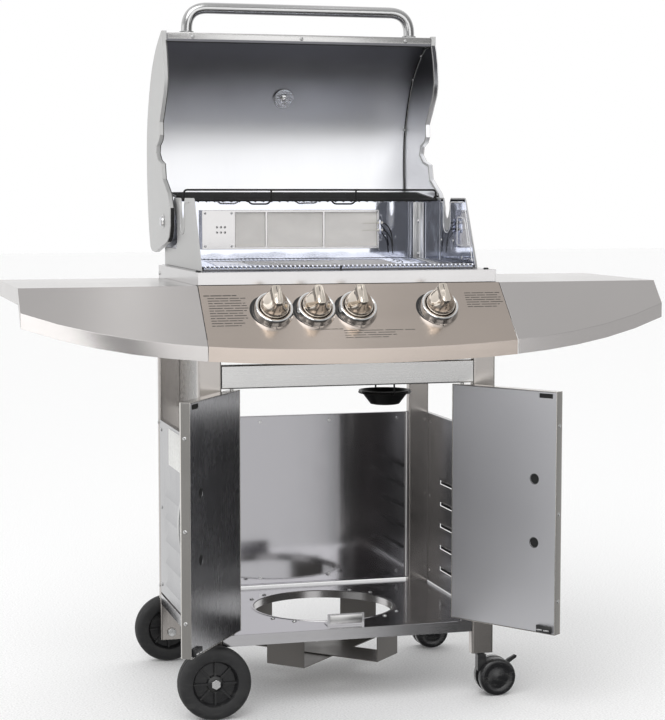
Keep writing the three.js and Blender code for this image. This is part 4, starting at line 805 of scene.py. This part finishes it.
NOTCH_Y, NOTCH_HALF, NOTCH_BOTTOM_Z = 249, 17, 962
BEAD_RADIUS = 1.5 * MM


def notch_line(top, past, shoulder):
    """A wall's spit notch in (y, z), set back by so much, with its shoulders so far below the top."""
    half = NOTCH_HALF + past
    round_end = [(NOTCH_Y + half * cos(angle), NOTCH_BOTTOM_Z + NOTCH_HALF + half * sin(angle))
                 for angle in (pi + pi * i / 8 for i in range(9))]
    return [(NOTCH_Y - half, top - shoulder)] + round_end + [(NOTCH_Y + half, top - shoulder)]


def wall_box(side, label):
    """X of a side wall's inner and outer face, in millimetres."""
    faces = [corner.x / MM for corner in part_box("firebox_wall_" + label)]
    return faces if side > 0 else faces[::-1]


def wall_beads():
    """Pressed beads round the spit notches and along the slanted front of both side walls; the right wall's
    are painted lighter as a highlight.
    """
    half = NOTCH_HALF + 6
    top = hi("firebox_wall_left").z / MM
    notch = [(NOTCH_Y - half - 46, top - 9), (NOTCH_Y - half - 3, top - 9), *notch_line(top, 6, 18),
             (NOTCH_Y + half + 3, top - 9), (NOTCH_Y + half + 16, top - 9)]
    slant = [(84, 900), (132, 1012), (142, 1022), (NOTCH_Y - half - 46, 1022)]
    window = [(109, 931), (133, 986), (152, 990), (180, 990), (180, 931), (109, 931)]
    for side, label in SIDES:
        inner, outer = wall_box(side, label)
        mesh = bmesh.new()
        for x in (inner, outer):
            sweep(mesh, [at(x, y, z) for y, z in notch], BEAD_RADIUS, 8)
        sweep(mesh, [at(inner, y, z) for y, z in slant], BEAD_RADIUS, 8)
        if side > 0:
            sweep(mesh, rounded_path([at(inner, y, z) for y, z in window], 6 * MM), BEAD_RADIUS, 8)
        # The right wall's beads take the painted highlight copy of the cast alloy.
        piece("wall_beads_" + label, mesh, CAST_PAINTED_HIGHLIGHT if side > 0 else CAST)


LINER_THICKNESS = 0.6
ELECTRODE_ZS = (958, 974)


def wall_liners():
    """Polished inner faces of the firebox walls, from the sloping front back to the returns."""
    top = hi("firebox_wall_left").z / MM
    edge = NOTCH_HALF + 7
    outline = [(66, 888), (132, top - 3), (NOTCH_Y - edge, top - 3), *notch_line(top, 2, 10),
               (NOTCH_Y + edge, top - 3), (290, top - 3), (290, 888)]
    for side, label in SIDES:
        inner = wall_box(side, label)[0] - side * 0.05
        mesh = bmesh.new()
        prism(mesh, [at(inner, y, z) for y, z in outline], X_AXIS * (-side * LINER_THICKNESS * MM))
        piece("firebox_liner_" + label, mesh, MIRROR)


def rear_burner_details():
    """Screws of the burner's frame, and the two electrodes at its right end with wires and bracket."""
    face = (lo("rear_burner_frame").y - FRONT_Y) / MM
    screws("rear_burner_screws", [(at(x, face, z), -Y_AXIS, 2.6) for x, z in (
        (-205, 925), (-205, 997), (-146, 925), (-146, 997), (188, 1000), (188, 922))])

    electrodes = bmesh.new()
    wires = bmesh.new()
    for z in ELECTRODE_ZS:
        base, end = at(186, face - 6, z + 1), at(199, face - 6, z + 1)
        rod(electrodes, at(152, face - 5, z), base, 0.9 * MM)
        rod(electrodes, base, end, 3.0 * MM, 12)
        path = [end + Vector(step) * MM for step in ((0, 0, 0), (10, 0, -4), (22, 6, -22), (26, 8, -52))]
        sweep(wires, rounded_path(path, 8 * MM), 1.3 * MM, 10)
    piece("rear_burner_electrodes", electrodes, CERAMIC_PLAIN)
    piece("rear_burner_wires", wires, PLASTIC)
    boxed("electrode_bracket", at(190, face - 9, 950), at(194, face + 4, 983), 0.5, MIRROR)


# ---- control panel and knobs
SLOPE = radians(48)
PANEL_NORMAL = Vector((0, -sin(SLOPE), cos(SLOPE)))
UP_SLOPE = Vector((0, cos(SLOPE), sin(SLOPE)))
PANEL_EDGE_Y, PANEL_EDGE_Z = -2, 860
KNOB_Y = -47
KNOBS = 4


def on_panel(x, drop_mm, proud_mm=0.0):
    """A point on the sloping face, so far down from its top edge and so far above its surface."""
    return at(x, PANEL_EDGE_Y, PANEL_EDGE_Z) - UP_SLOPE * (drop_mm * MM) + PANEL_NORMAL * (proud_mm * MM)


def knob_centre(index):
    x = middle("valve_stem_%d" % index).x
    drop = (PANEL_EDGE_Y - KNOB_Y) / cos(SLOPE)
    return on_panel(x / MM, drop)


BEZEL_PROFILE = [(31.2, 0.0), (40.4, 0.0), (40.7, 1.0), (40.2, 2.8), (38.7, 9.4), (37.9, 13.4),
                 (36.9, 15.4), (35.2, 16.2), (33.5, 16.0), (32.0, 14.8), (31.2, 12.8)]
KNOB_PROFILE = [(4.6, 8.1), (28.2, 8.1), (28.9, 8.9), (28.9, 19.4), (28.3, 20.6), (27.6, 23.9),
                (4.6, 23.9)]
# height, half-length, half-width and squareness of the grip's sections
GRIP_SECTIONS = [(23.85, 27.8, 27.4, 1.0), (29.0, 27.7, 25.4, 0.98),
                 (33.0, 27.1, 22.4, 0.94), (37.0, 26.4, 18.6, 0.86), (42.0, 25.6, 14.2, 0.72),
                 (47.0, 24.8, 11.0, 0.56), (51.5, 24.2, 9.7, 0.48), (53.2, 23.6, 9.0, 0.46),
                 (54.0, 22.8, 7.9, 0.48)]
GRIP_POINTS = 36


def grip(mesh, centre):
    """Upright bar of the knob, round at its foot, waisted, and rounded at its crown."""
    rings = []
    for height, half_length, half_width, squareness in GRIP_SECTIONS:
        section = []
        for i in range(GRIP_POINTS):
            angle = tau * i / GRIP_POINTS
            c, s = cos(angle), sin(angle)
            u = copysign(abs(c) ** squareness, c) * half_width
            v = copysign(abs(s) ** squareness, s) * half_length
            section.append(centre + (X_AXIS * u + UP_SLOPE * v + PANEL_NORMAL * height) * MM)
        rings.append(section)
    loft(mesh, rings)


def knobs_and_bezels():
    for index in range(1, KNOBS + 1):
        centre = knob_centre(index)
        body = "knob_%d_body" % index
        turned("bezel_%d" % index, BEZEL_PROFILE, centre, PANEL_NORMAL, 72, CHROME)
        # A black disc on the bezel's floor, seen as a dark ring round the knob: painted shade.
        turned("bezel_floor_%d" % index, [(6.4, 0.1), (31.1, 0.1), (31.1, 1.2), (6.4, 1.2)],
               centre, PANEL_NORMAL, 48, DARK_JOINT_AND_PAINTED_SHADE)
        knob = bmesh.new()
        turn(knob, KNOB_PROFILE, centre, PANEL_NORMAL, 64)
        grip(knob, centre)
        piece("knob_grip_%d" % index, knob, KNOB_METAL, body, ["knob_%d" % index])
        pointer = bmesh.new()
        prism(pointer, [centre + (X_AXIS * u + UP_SLOPE * v + PANEL_NORMAL * 53.8) * MM for u, v in (
            (-0.7, 6), (0.7, 6), (0.7, 20), (-0.7, 20))], PANEL_NORMAL * 0.35 * MM)
        piece("knob_pointer_%d" % index, pointer, INK, body)


LINE_RISE = 0.12
CRESCENT_STEPS = 20
CRESCENT_START, CRESCENT_END = radians(118), radians(262)
CRESCENT_WIDTH, CRESCENT_RADIUS = 6.0, 40.9
CRESCENT_TAIL = 0.72            # share of its length at which the thin tail starts


def crescent_width(t):
    """Width in millimetres at a share t of the way along: full soon after its start, then a thin tail."""
    if t < CRESCENT_TAIL:
        return CRESCENT_WIDTH * (0.12 + 0.88 * sin(pi * min(1.0, t * 1.15 + 0.12)) ** 0.8)
    return CRESCENT_WIDTH * (0.55 - 0.45 * t)


def knob_crescents():
    """Printed crescent beside each knob, wide at its full-flame end and thin at its low end, with a dot."""
    mesh = bmesh.new()

    def printed(centre, angle, radius):
        out = X_AXIS * cos(angle) + UP_SLOPE * sin(angle)
        return centre + out * radius * MM

    for index in range(1, KNOBS + 1):
        centre = knob_centre(index)
        ground = centre + PANEL_NORMAL * 0.02 * MM
        pairs = []
        for i in range(CRESCENT_STEPS + 1):
            t = i / CRESCENT_STEPS
            angle = CRESCENT_START + (CRESCENT_END - CRESCENT_START) * t
            pairs.append([printed(ground, angle, CRESCENT_RADIUS + w) for w in (0, crescent_width(t))])
        for one, other in zip(pairs, pairs[1:]):
            prism(mesh, one + other[::-1], PANEL_NORMAL * LINE_RISE * MM)
        turn(mesh, [(0, 0.02), (1.3, 0.02), (1.3, 0.14), (0, 0.14)],
             printed(centre, CRESCENT_END + radians(9), 42.5), PANEL_NORMAL, 12)
    piece("knob_crescents", mesh, INK_BLACK)


def ruled_lines(mesh, x0, drop0, lengths, pitch, height=0.9, broken=None):
    """Plain ruled lines in place of printing: each is one or more dashes, with no letters."""
    for row, length in enumerate(lengths):
        drop = drop0 + row * pitch
        dashes = broken[row % len(broken)] if broken else ((0.0, 1.0),)
        for start, end in dashes:
            corners = [(x0 + length * start, drop), (x0 + length * end, drop),
                       (x0 + length * end, drop + height), (x0 + length * start, drop + height)]
            prism(mesh, [on_panel(x, d, 0.02) for x, d in corners], PANEL_NORMAL * LINE_RISE * MM)


DASHES = (((0, 0.18), (0.21, 0.55), (0.58, 0.83), (0.86, 1)), ((0, 0.35), (0.38, 0.62), (0.66, 1)),
          ((0, 0.12), (0.15, 0.4), (0.44, 0.9), (0.93, 1)))


def panel_print():
    mesh = bmesh.new()
    ruled_lines(mesh, -303, 24.5, [66], 5, 2.2, DASHES)
    ruled_lines(mesh, -296, 31.5, [76, 66, 74, 76, 78, 74, 66, 72, 74, 62, 66, 58], 6.2, 1.7, DASHES)
    ruled_lines(mesh, 234, 26.5, [76, 70, 76, 74, 78, 70, 62], 5.9, 1.6, DASHES)
    ruled_lines(mesh, -94, 112.5, [58], 5, 1.3, DASHES)
    ruled_lines(mesh, -35, 117, [146, 104, 106, 88], 5.7, 1.3, DASHES)
    piece("panel_ruled_lines", mesh, INK)


SEAM_XS = ((-310.45, -310.45), (315.7, 321.2))


def panel_trim():
    """Dark seams between the control panel and the side shelves' sloping fronts."""
    seam = bmesh.new()
    for top_x, front_x in SEAM_XS:
        rod(seam, on_panel(top_x, 0.5, -1.2), on_panel(front_x, 133, -1.2), 0.7 * MM, 6)
    piece("panel_seams", seam, DARK_JOINT_AND_PAINTED_SHADE)


# ---- doors
DOOR_OPEN = radians(124)
DOOR_EDGE_X = 1.5
DOOR_PIVOT_X, DOOR_PIVOT_Y = 241.3, 8.25
DOOR_FACE_Y = -3.0
DOOR_INNER_Y = 19.5
DOOR_SCREW_ZS = (584, 408, 233)
DOOR_SCREW_SUNK = 1.2
DOOR_BOW_ENDS, DOOR_BOW_RISE = 11, 10
DOOR_BOW_LOW_Z, DOOR_BOW_HIGH_Z = 347, 475
DOOR_BOW_STEPS = 8


def door_piece(name, mesh, material, side, replaces=()):
    """A piece made on the closed door and swung out to the open place that the frame draws it in."""
    label = "left" if side < 0 else "right"
    pivot = at(side * DOOR_PIVOT_X, DOOR_PIVOT_Y, 0)
    turned_by = Matrix.Rotation(side * DOOR_OPEN, 4, "Z")
    swing = Matrix.Translation(pivot) @ turned_by @ Matrix.Translation(-pivot)
    bmesh.ops.transform(mesh, matrix=swing, verts=mesh.verts[:])
    piece(name + "_" + label, mesh, material, "door_" + label, [r % label for r in replaces])


def door_handle(side, x):
    handle = bmesh.new()
    bow = [at(x, DOOR_FACE_Y - 0.4, DOOR_BOW_LOW_Z)]
    for i in range(DOOR_BOW_STEPS + 1):
        t = i / DOOR_BOW_STEPS
        reach = DOOR_BOW_ENDS + DOOR_BOW_RISE * (1 - (2 * t - 1) ** 2)
        bow.append(at(x, DOOR_FACE_Y - reach, DOOR_BOW_LOW_Z + (DOOR_BOW_HIGH_Z - DOOR_BOW_LOW_Z) * t))
    bow.append(at(x, DOOR_FACE_Y - 0.4, DOOR_BOW_HIGH_Z))
    sweep(handle, rounded_path(bow, 5.5 * MM, 5), 5.6 * MM, 20)
    for z in (DOOR_BOW_LOW_Z, DOOR_BOW_HIGH_Z):
        turn(handle, [(5.9, 0.3), (9.2, 0.3), (9.4, 1.2), (8.4, 2.2), (5.9, 2.6)],
             at(x, DOOR_FACE_Y, z), -Y_AXIS, 28)
    door_piece("door_bow_handle", handle, BRUSHED_TUBE, side, ["door_%s_handle"])


def door_pieces(side):
    """Edge screws, bow handle, magnet, and the dark holes of one door's liner."""
    mesh = bmesh.new()
    for z in DOOR_SCREW_ZS:
        screw(mesh, at(side * (DOOR_EDGE_X + DOOR_SCREW_SUNK), (DOOR_FACE_Y + DOOR_INNER_Y) / 2, z),
              -side * X_AXIS, 4.4)
    door_piece("door_screws", mesh, SCREW_METAL, side)
    handle_x = side * (DOOR_EDGE_X + 52)
    door_handle(side, handle_x)

    x0, x1 = sorted((side * (DOOR_EDGE_X + 7), side * (DOOR_EDGE_X + 41)))
    mesh = bmesh.new()
    block(mesh, at(x0, DOOR_INNER_Y - 0.4, 168.5), at(x1, DOOR_INNER_Y + 6.2, 183.5), 1.2)
    door_piece("door_magnet_case", mesh, PLASTIC, side)
    mesh = bmesh.new()
    for part in (0.06, 0.54):
        start, end = x0 + (x1 - x0) * part, x0 + (x1 - x0) * (part + 0.4)
        block(mesh, at(start, DOOR_INNER_Y + 6.0, 173), at(end, DOOR_INNER_Y + 6.8, 176), 0.3)
    door_piece("door_magnet_poles", mesh, SCREW_METAL, side)

    shadows, rims = bmesh.new(), bmesh.new()
    s0, s1 = sorted((side * (DOOR_EDGE_X + 10), side * (DOOR_EDGE_X + 42)))
    block(shadows, at(s0 - 0.5, DOOR_INNER_Y - 4.0, 637.2), at(s1 + 0.5, DOOR_INNER_Y - 2.3, 647.8), 0.2)
    for z in (DOOR_BOW_LOW_Z, DOOR_BOW_HIGH_Z):
        turn(shadows, [(0, 0), (11, 0), (11, 1.2), (0, 1.2)],
             at(handle_x, DOOR_INNER_Y - 3.6, z), Y_AXIS, 24)
        turn(rims, [(9.3, -2.2), (9.6, 0.1), (10.4, 0.4), (10.9, 0.0), (10.4, -0.4)],
             at(handle_x, DOOR_INNER_Y - 0.6, z), Y_AXIS, 32)
    door_piece("door_hole_shadows", shadows, DARK_JOINT_AND_PAINTED_SHADE, side)
    door_piece("door_hole_rims", rims, PLASTIC, side)


# ---- cart details
BOTTLE_X, BOTTLE_Y, SHELF_TOP_Z = 4.5, 225, 160


def shelf_details():
    """Rolled rim of the bottle hole, the screws round it, and the plate that the door magnets meet."""
    turned("bottle_hole_rim", [
        (148.9, -15.4), (148.9, -0.5), (149.8, 0.8), (151.6, 1.3), (154.0, 0.7), (154.4, -0.4),
        (152.4, -1.9), (152.4, -15.4)], at(BOTTLE_X, BOTTLE_Y, SHELF_TOP_Z), Z_AXIS, 128, BRIGHT_STEEL)
    angles = [radians(corner + spread) for corner in (45, 135, 225, 315) for spread in (-9, 9)]
    screws("shelf_screws", [(at(BOTTLE_X + 166 * cos(a), BOTTLE_Y + 166 * sin(a), SHELF_TOP_Z),
                             Z_AXIS, 4.6) for a in angles])
    boxed("catch_plate", at(-34, 26.5, 164), at(34, 27.45, 182), 0.3, STEEL_X)


def frame_screws():
    places = []
    for side in (-1, 1):
        out = side * X_AXIS
        places += [(at(side * 309.6, y, z), out, 3.8) for y in (40, 414) for z in (185, 356, 527)]
        places += [(at(side * 310, y, z), out, 4.0) for y in (11, 443) for z in (178, 540, 800)]
    places += [(at(x, 452, z), Y_AXIS, 3.8) for x in (-240, -80, 80, 240) for z in (180, 532)]
    screws("cart_screws", places)


LOUVRES, LOUVRE_FIRST_Z, LOUVRE_PITCH = 5, 201, 48.8
LOUVRE_STRIP_X = (310.2, 311.0)


def louvre_shades():
    """Dark strips behind the louvre slots: painted shade inside the louvres."""
    mesh = bmesh.new()
    middle_y = (middle("side_panel_left").y - FRONT_Y) / MM
    for i in range(LOUVRES):
        z = LOUVRE_FIRST_Z + i * LOUVRE_PITCH
        for x0, x1 in (LOUVRE_STRIP_X, (-LOUVRE_STRIP_X[1], -LOUVRE_STRIP_X[0])):
            block(mesh, at(x0, middle_y - 116, z - 3), at(x1, middle_y + 116, z + 2), 0.2)
    piece("louvre_painted_shade_strips", mesh, DARK_JOINT_AND_PAINTED_SHADE)


CORNER_Y, CORNER_WIDTH, CORNER_DEPTH = 446, 10, 46
CORNER_LOW_Z, CORNER_HIGH_Z = 886, 1021


def corner_channel():
    """Upright angle in the right rear corner of the firebox, painted bright as a highlight, with its bolts.
    """
    face = lo("firebox_wall_right").x / MM - 3.2
    low, high = CORNER_LOW_Z, CORNER_HIGH_Z
    mesh = bmesh.new()
    block(mesh, at(face - CORNER_WIDTH, CORNER_Y, low), at(face, CORNER_Y + 1.2, high), 0.4)
    block(mesh, at(face - 1.2, CORNER_Y - CORNER_DEPTH, low), at(face, CORNER_Y, high), 0.4)
    for y in (CORNER_Y - CORNER_DEPTH, CORNER_Y - CORNER_DEPTH / 2):
        rod(mesh, at(face - 1.6, y, low), at(face - 1.6, y, high), 1.3 * MM)
    piece("corner_channel", mesh, CAST_PAINTED_HIGHLIGHT, slot="polished_steel")
    bolts = bmesh.new()
    for z in (905, 978):
        hexagon(bolts, at(face - 1.2, CORNER_Y - 12, z), -X_AXIS, 8, 2.4)
    piece("corner_bolts", bolts, SCREW_METAL)


def label_plate():
    """Plain pale label with nothing on it, on the left side panel."""
    boxed("blank_label", at(-309.9, 197, 462), at(-309.4, 327, 540), 0.15, LABEL)


# ---- wheels, castors and grease cup
SPOKES = 8


def wheel_size(node):
    """Centre, radius (mm) and half width (mm) of a wheel that turns about Y."""
    low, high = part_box(node)
    return (low + high) / 2, (high.z - low.z) / 2 / MM, (high.y - low.y) / 2 / MM


def both_faces(flank, half):
    """A wheel's whole section from the (radius, depth below its face) of one side."""
    return [(r, depth - half) for r, depth in flank] + [(r, half - depth) for r, depth in reversed(flank)]


def cart_wheel(name, node):
    centre, radius, half = wheel_size(node)
    tyre = [(46.5, 1.2), (50, 0.2), (62, 0), (67, 1.0), (71, 3.6), (radius - 0.7, 7.5), (radius - 0.2, 11),
            (radius - 2.4, 12), (radius - 2.4, 14), (radius, 15)]
    turned(name + "_tyre", both_faces(tyre, half), centre, Y_AXIS, 96, RUBBER, name, [node])
    hub = bmesh.new()
    turn(hub, both_faces([(6.6, 4.5), (12.5, 4.5), (15.5, 6.5), (17.5, 12.5), (41.0, 13.5), (44.0, 4.0),
                          (46.4, 1.4)], half), centre, Y_AXIS, 72)
    for i in range(SPOKES):
        angle = tau * i / SPOKES
        out = Vector((cos(angle), 0, sin(angle)))
        across = Vector((-sin(angle), 0, cos(angle)))
        for face in (-1, 1):
            outline = [centre + (out * r + across * w + Y_AXIS * face * (half - 14.5)) * MM
                       for r, w in ((14, -2.2), (44, -1.7), (44, 1.7), (14, 2.2))]
            prism(hub, outline, Y_AXIS * (face * 7 * MM))
    piece(name + "_hub", hub, PLASTIC, name)


def castor_wheels(name):
    node = name + "_wheels"
    centre, radius, half = wheel_size(node)
    mesh = bmesh.new()
    for side in (-1, 1):
        turn(mesh, [(r, side * (half - depth)) for r, depth in (
            (0, 16), (radius - 1, 16), (radius, 15), (radius, 4.6), (radius - 1.3, 2.0),
            (radius - 4.0, 0.4), (radius - 8, 0), (24, 1.2), (22.5, 2.2), (10, 1.4), (8, 0.2), (0, 0))],
             centre, Y_AXIS, 56)
    rod(mesh, centre - Y_AXIS * 10 * MM, centre + Y_AXIS * 10 * MM, 4 * MM, 16)
    piece(name + "_discs", mesh, PLASTIC_GLOSS, name + "_roller", [node])


HOLDER_RADIUS, HOLDER_WIRE = 55.2, 1.9 * MM


def grease_cup():
    centre = middle("grease_cup")
    centre.z = lo("grease_cup").z
    depth = (hi("grease_cup").z - centre.z) / MM
    turned("grease_cup_bowl", [
        (0, 0.4), (26, 0.2), (31, 1.4), (51.2, depth - 3.2), (52.6, depth - 2.0), (55.0, depth - 2.0),
        (56.0, depth - 1.2), (55.6, depth - 0.1), (52.0, depth), (50.0, depth - 1.4),
        (29.4, 3.0), (25, 1.8), (0, 1.9)], centre, Z_AXIS, 72, ENAMEL, "cup", ["grease_cup"])

    holder = bmesh.new()
    rise = depth - 4.8
    hoop = ring(centre + Z_AXIS * rise * MM, X_AXIS, Y_AXIS, HOLDER_RADIUS * MM, 48)
    sweep(holder, hoop, HOLDER_WIRE, 10, closed=True)
    top = (hi("cup_holder").z - centre.z) / MM
    for side in (-1, 1):
        hanger = [centre + Vector((0, side * y, z)) * MM for y, z in (
            (HOLDER_RADIUS, rise), (HOLDER_RADIUS + 12.6, rise), (HOLDER_RADIUS + 12.6, top))]
        sweep(holder, rounded_path(hanger, 6 * MM), HOLDER_WIRE, 10)
    piece("cup_holder_wire", holder, ENAMEL, "cart", ["cup_holder"])


# ---- studio
FLOOR_HALF = 30.0
FRONT_LOW, CEILING, BACKDROP = 0.07, 0.68, 1.0


def make_floor():
    floor = bmesh.new()
    floor.faces.new([floor.verts.new((x * FLOOR_HALF, y * FLOOR_HALF, 0))
                     for x, y in ((-1, -1), (1, -1), (1, 1), (-1, 1))])
    data = bpy.data.meshes.new("floor")
    floor.to_mesh(data)
    floor.free()
    data.materials.append(plain_print("pale_floor", (0.95, 0.95, 0.95), 0.8))
    obj = show("floor", data)
    obj.visible_glossy = False
    obj.visible_shadow = False


def make_world():
    """White room behind the grill, a dim one in front and a soft ceiling; white where it is seen itself."""
    world = bpy.data.worlds.new("studio")
    bpy.context.scene.world = world
    world.use_nodes = True
    s = Nodes(world.node_tree)

    def blended(factor, a, b):
        return s.node("ShaderNodeMix", {0: factor, 2: a, 3: b}, data_type="FLOAT").outputs[0]

    parts = s.parts(s.node("ShaderNodeTexCoord").outputs["Generated"])
    front = s.spread(parts["Z"], FRONT_LOW, CEILING, (-0.12, 0.9))
    left = s.spread(parts["X"], 0.0, 0.3, (-0.2, -1.0))
    behind = s.spread(parts["Y"], 0.0, 1.0, (-0.15, 0.5))
    lit = blended(behind, s.sum(front, left), BACKDROP)
    seen = s.node("ShaderNodeLightPath").outputs["Is Camera Ray"]
    background = s.tree.nodes["Background"].inputs
    s.put(blended(seen, lit, BACKDROP), background["Strength"])
    s.put((1, 1, 1, 1), background["Color"])


def softbox(name, place, reach, width, height, radiance):
    """Rectangular light that faces a point so far from it."""
    light = bpy.data.lights.new(name, "AREA")
    light.shape = "RECTANGLE"
    light.size, light.size_y = width, height
    light.energy = pi * width * height * radiance
    lamp = show(name, light)
    lamp.location = place
    lamp.rotation_mode = "QUATERNION"
    lamp.rotation_quaternion = Vector(reach).to_track_quat("-Z", "Y")
    lamp.visible_camera = False


def make_sun():
    light = bpy.data.lights.new("soft_sky", "SUN")
    light.energy = 1.3
    light.angle = radians(50)
    show("soft_sky", light).rotation_euler = (radians(38), radians(-28), 0)


def studio():
    make_floor()
    make_world()
    softbox("softbox_front", (1.0, -4.8, 1.72), Y_AXIS, 3.4, 3.04, 1.45)
    softbox("softbox_front_low", (0.3, -4.8, -0.6), Y_AXIS, 2.4, 1.6, 0.85)
    softbox("softbox_lip_left", (-2.5, -4.2, 0.55), (1.9, 4.2, 0.2), 2.1, 1.4, 1.9)
    softbox("softbox_lip_right", (4.4, -3.9, 0.5), (-3.8, 3.9, 0.25), 4.4, 1.4, 0.6)
    softbox("softbox_left", (-3.8, 0.0, 0.9), X_AXIS, 3.2, 2.6, 0.7)
    softbox("softbox_strip_left", (-0.17, -0.45, 2.6), -Z_AXIS, 0.1, 1.2, 0.8)
    softbox("softbox_strip_right", (0.43, -0.45, 2.6), -Z_AXIS, 0.1, 1.2, 0.8)
    make_sun()
    bpy.context.scene.view_settings.view_transform = "Standard"


make_camera()
dress_nodes()
lid_strip()
handle_bar()
thermometer()
lid_seam()
cap_details()
grate("left")
grate("right")
warming_rack()
rim_details()
wall_beads()
wall_liners()
rear_burner_details()
knobs_and_bezels()
knob_crescents()
panel_print()
panel_trim()
door_pieces(-1)
door_pieces(1)
shelf_details()
frame_screws()
label_plate()
louvre_shades()
corner_channel()
cart_wheel("front_wheel", "wheel_front")
cart_wheel("rear_wheel", "wheel_rear")
castor_wheels("castor_front")
castor_wheels("castor_rear")
grease_cup()
studio()
